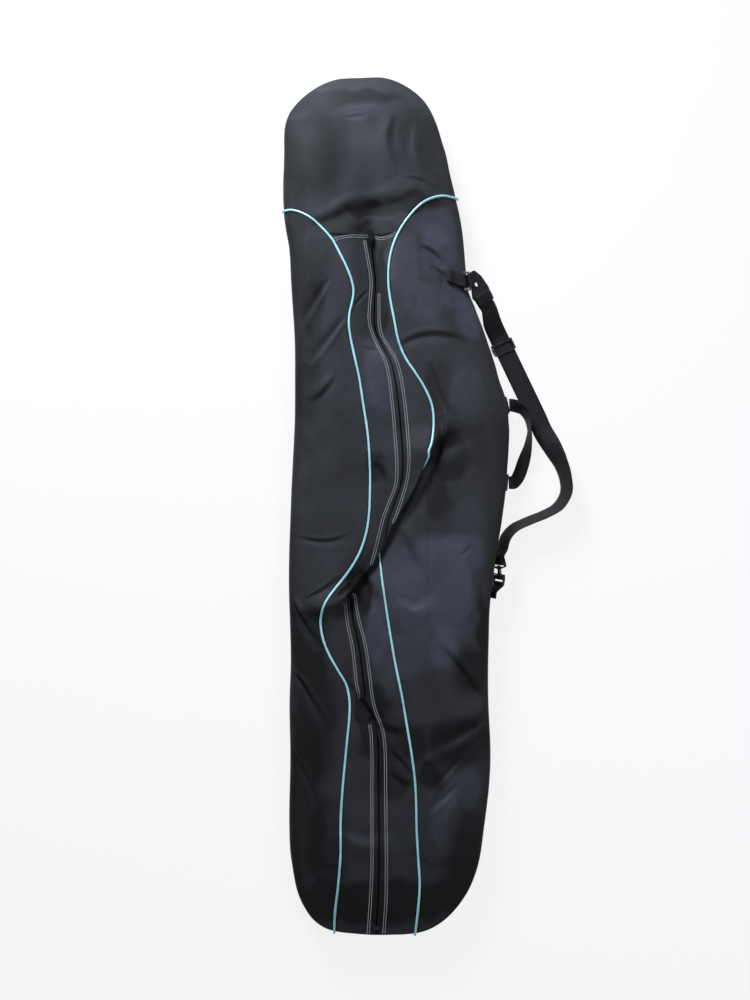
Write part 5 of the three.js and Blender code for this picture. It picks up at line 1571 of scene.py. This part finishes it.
def add_floor(stage):
    half = 6000
    mesh = make_mesh("floor", [(-half, -half, -0.2), (half, -half, -0.2), (half, half, -0.2),
                               (-half, half, -0.2)], [(0, 1, 2, 3)], smooth=False)
    floor = link("floor", mesh)
    made = material("pale floor", (0.86, 0.86, 0.86), 0.9, Specular_IOR_Level=0.1)
    tree = made.node_tree
    rays = node(tree, "ShaderNodeLightPath").outputs
    seen = figure(tree, "MAXIMUM", rays["Is Camera Ray"], rays["Is Glossy Ray"])
    seen = figure(tree, "MAXIMUM", seen, rays["Is Transmission Ray"])
    share = figure(tree, "MULTIPLY", seen, stage.floor_white)
    white = node(tree, "ShaderNodeEmission", {"Color": (1, 1, 1, 1), "Strength": 1.0})
    mixed = node(tree, "ShaderNodeMixShader", {
        0: share, 1: tree.nodes["Principled BSDF"].outputs[0], 2: white.outputs[0]})
    tree.links.new(mixed.outputs[0], tree.nodes["Material Output"].inputs["Surface"])
    floor.data.materials.append(made)
    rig.stage(floor)


def set_world(context, strength):
    world = bpy.data.worlds.new("room")
    world.use_nodes = True
    context.scene.world = world
    tree = world.node_tree
    plain = tree.nodes["Background"]
    plain.inputs["Color"].default_value = (0.92, 0.95, 1.0, 1)
    plain.inputs["Strength"].default_value = strength
    white = node(tree, "ShaderNodeBackground", {"Color": (1, 1, 1, 1), "Strength": 1.0})
    rays = node(tree, "ShaderNodeLightPath")
    mixed = node(tree, "ShaderNodeMixShader", {0: rays.outputs["Is Camera Ray"],
                 1: plain.outputs[0], 2: white.outputs[0]})
    tree.links.new(mixed.outputs[0], tree.nodes["World Output"].inputs["Surface"])


# What a user may change

class BagSizes(bpy.types.PropertyGroup):
    crease_height: FloatProperty(
        name="Crease height", description="How strongly the cloth is creased", default=1.0,
        min=0.0, max=2.0)
    piping_width: FloatProperty(
        name="Piping width", description="Diameter of the piping", default=0.0044,
        min=0.002, max=0.01, unit="LENGTH")
    stitch_step: FloatProperty(
        name="Stitch step", description="Distance from one stitch to the next",
        default=0.0036, min=0.001, max=0.02, unit="LENGTH")
    stitch_length: FloatProperty(
        name="Stitch length", description="Length of one stitch", default=0.0027,
        min=0.0005, max=0.02, unit="LENGTH")


def color_property(name, description, default):
    return FloatVectorProperty(name=name, description=description, default=default,
                               subtype="COLOR", size=3, min=0.0, max=1.0)


class BagColors(bpy.types.PropertyGroup):
    shell: color_property("Shell", "Colour of the shell cloth", (0.028, 0.029, 0.0325))
    piping: color_property("Piping", "Colour of the piping", (0.42, 0.80, 0.84))
    webbing: color_property("Webbing", "Colour of the webbing", (0.0066, 0.0066, 0.0073))
    thread: color_property("Thread", "Colour of the stitches", (0.57, 0.57, 0.58))


class BagStage(bpy.types.PropertyGroup):
    key_power: FloatProperty(
        name="Window light", description="Power of the light beyond the nose", default=87.0,
        min=0.0, unit="POWER")
    fill_power: FloatProperty(
        name="Ceiling light", description="Power of the light overhead", default=17.5,
        min=0.0, unit="POWER")
    sky: FloatProperty(
        name="Room light", description="Strength of the light from all sides", default=0.18,
        min=0.0, max=2.0)
    floor_white: FloatProperty(
        name="Floor white", description="How much of the floor's white is its own",
        default=0.82, min=0.0, max=1.0)


class BAG_PT_panel(bpy.types.Panel):
    """Lists the bag's sizes, colours and pieces"""
    bl_idname = "BAG_PT_panel"
    bl_label = "Snowboard bag"
    bl_space_type = "VIEW_3D"
    bl_region_type = "UI"
    bl_category = "Bag"

    def draw(self, context):
        for group in (context.scene.bag_sizes, context.scene.bag_colors,
                      context.scene.bag_stage):
            for name in group.__annotations__:
                self.layout.prop(group, name)
        for step in STEPS:
            self.layout.operator(step.bl_idname)


STEPS = (
    BAG_OT_stage, BAG_OT_front_panels, BAG_OT_gusset, BAG_OT_back_panel, BAG_OT_piping,
    BAG_OT_zip_tapes, BAG_OT_stitches, BAG_OT_tabs, BAG_OT_shoulder_strap,
    BAG_OT_carry_handle, BAG_OT_fittings,
)
CLASSES = (BagSizes, BagColors, BagStage, *STEPS, BAG_PT_panel)


def register():
    for entry in CLASSES:
        bpy.utils.register_class(entry)
    bpy.types.Scene.bag_sizes = PointerProperty(type=BagSizes)
    bpy.types.Scene.bag_colors = PointerProperty(type=BagColors)
    bpy.types.Scene.bag_stage = PointerProperty(type=BagStage)


def unregister():
    for name in ("bag_sizes", "bag_colors", "bag_stage"):
        delattr(bpy.types.Scene, name)
    for entry in reversed(CLASSES):
        bpy.utils.unregister_class(entry)


def main():
    register()
    for step in STEPS:
        group, name = step.bl_idname.split(".")
        getattr(getattr(bpy.ops, group), name)()
    boxes = {"cad": CAD_BOX, "visual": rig.bounds()}
    with open("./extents.json", "w") as out:
        json.dump({key: [list(map(float, corner)) for corner in box]
                   for key, box in boxes.items()}, out, indent=1)


if __name__ == "__main__":
    main()
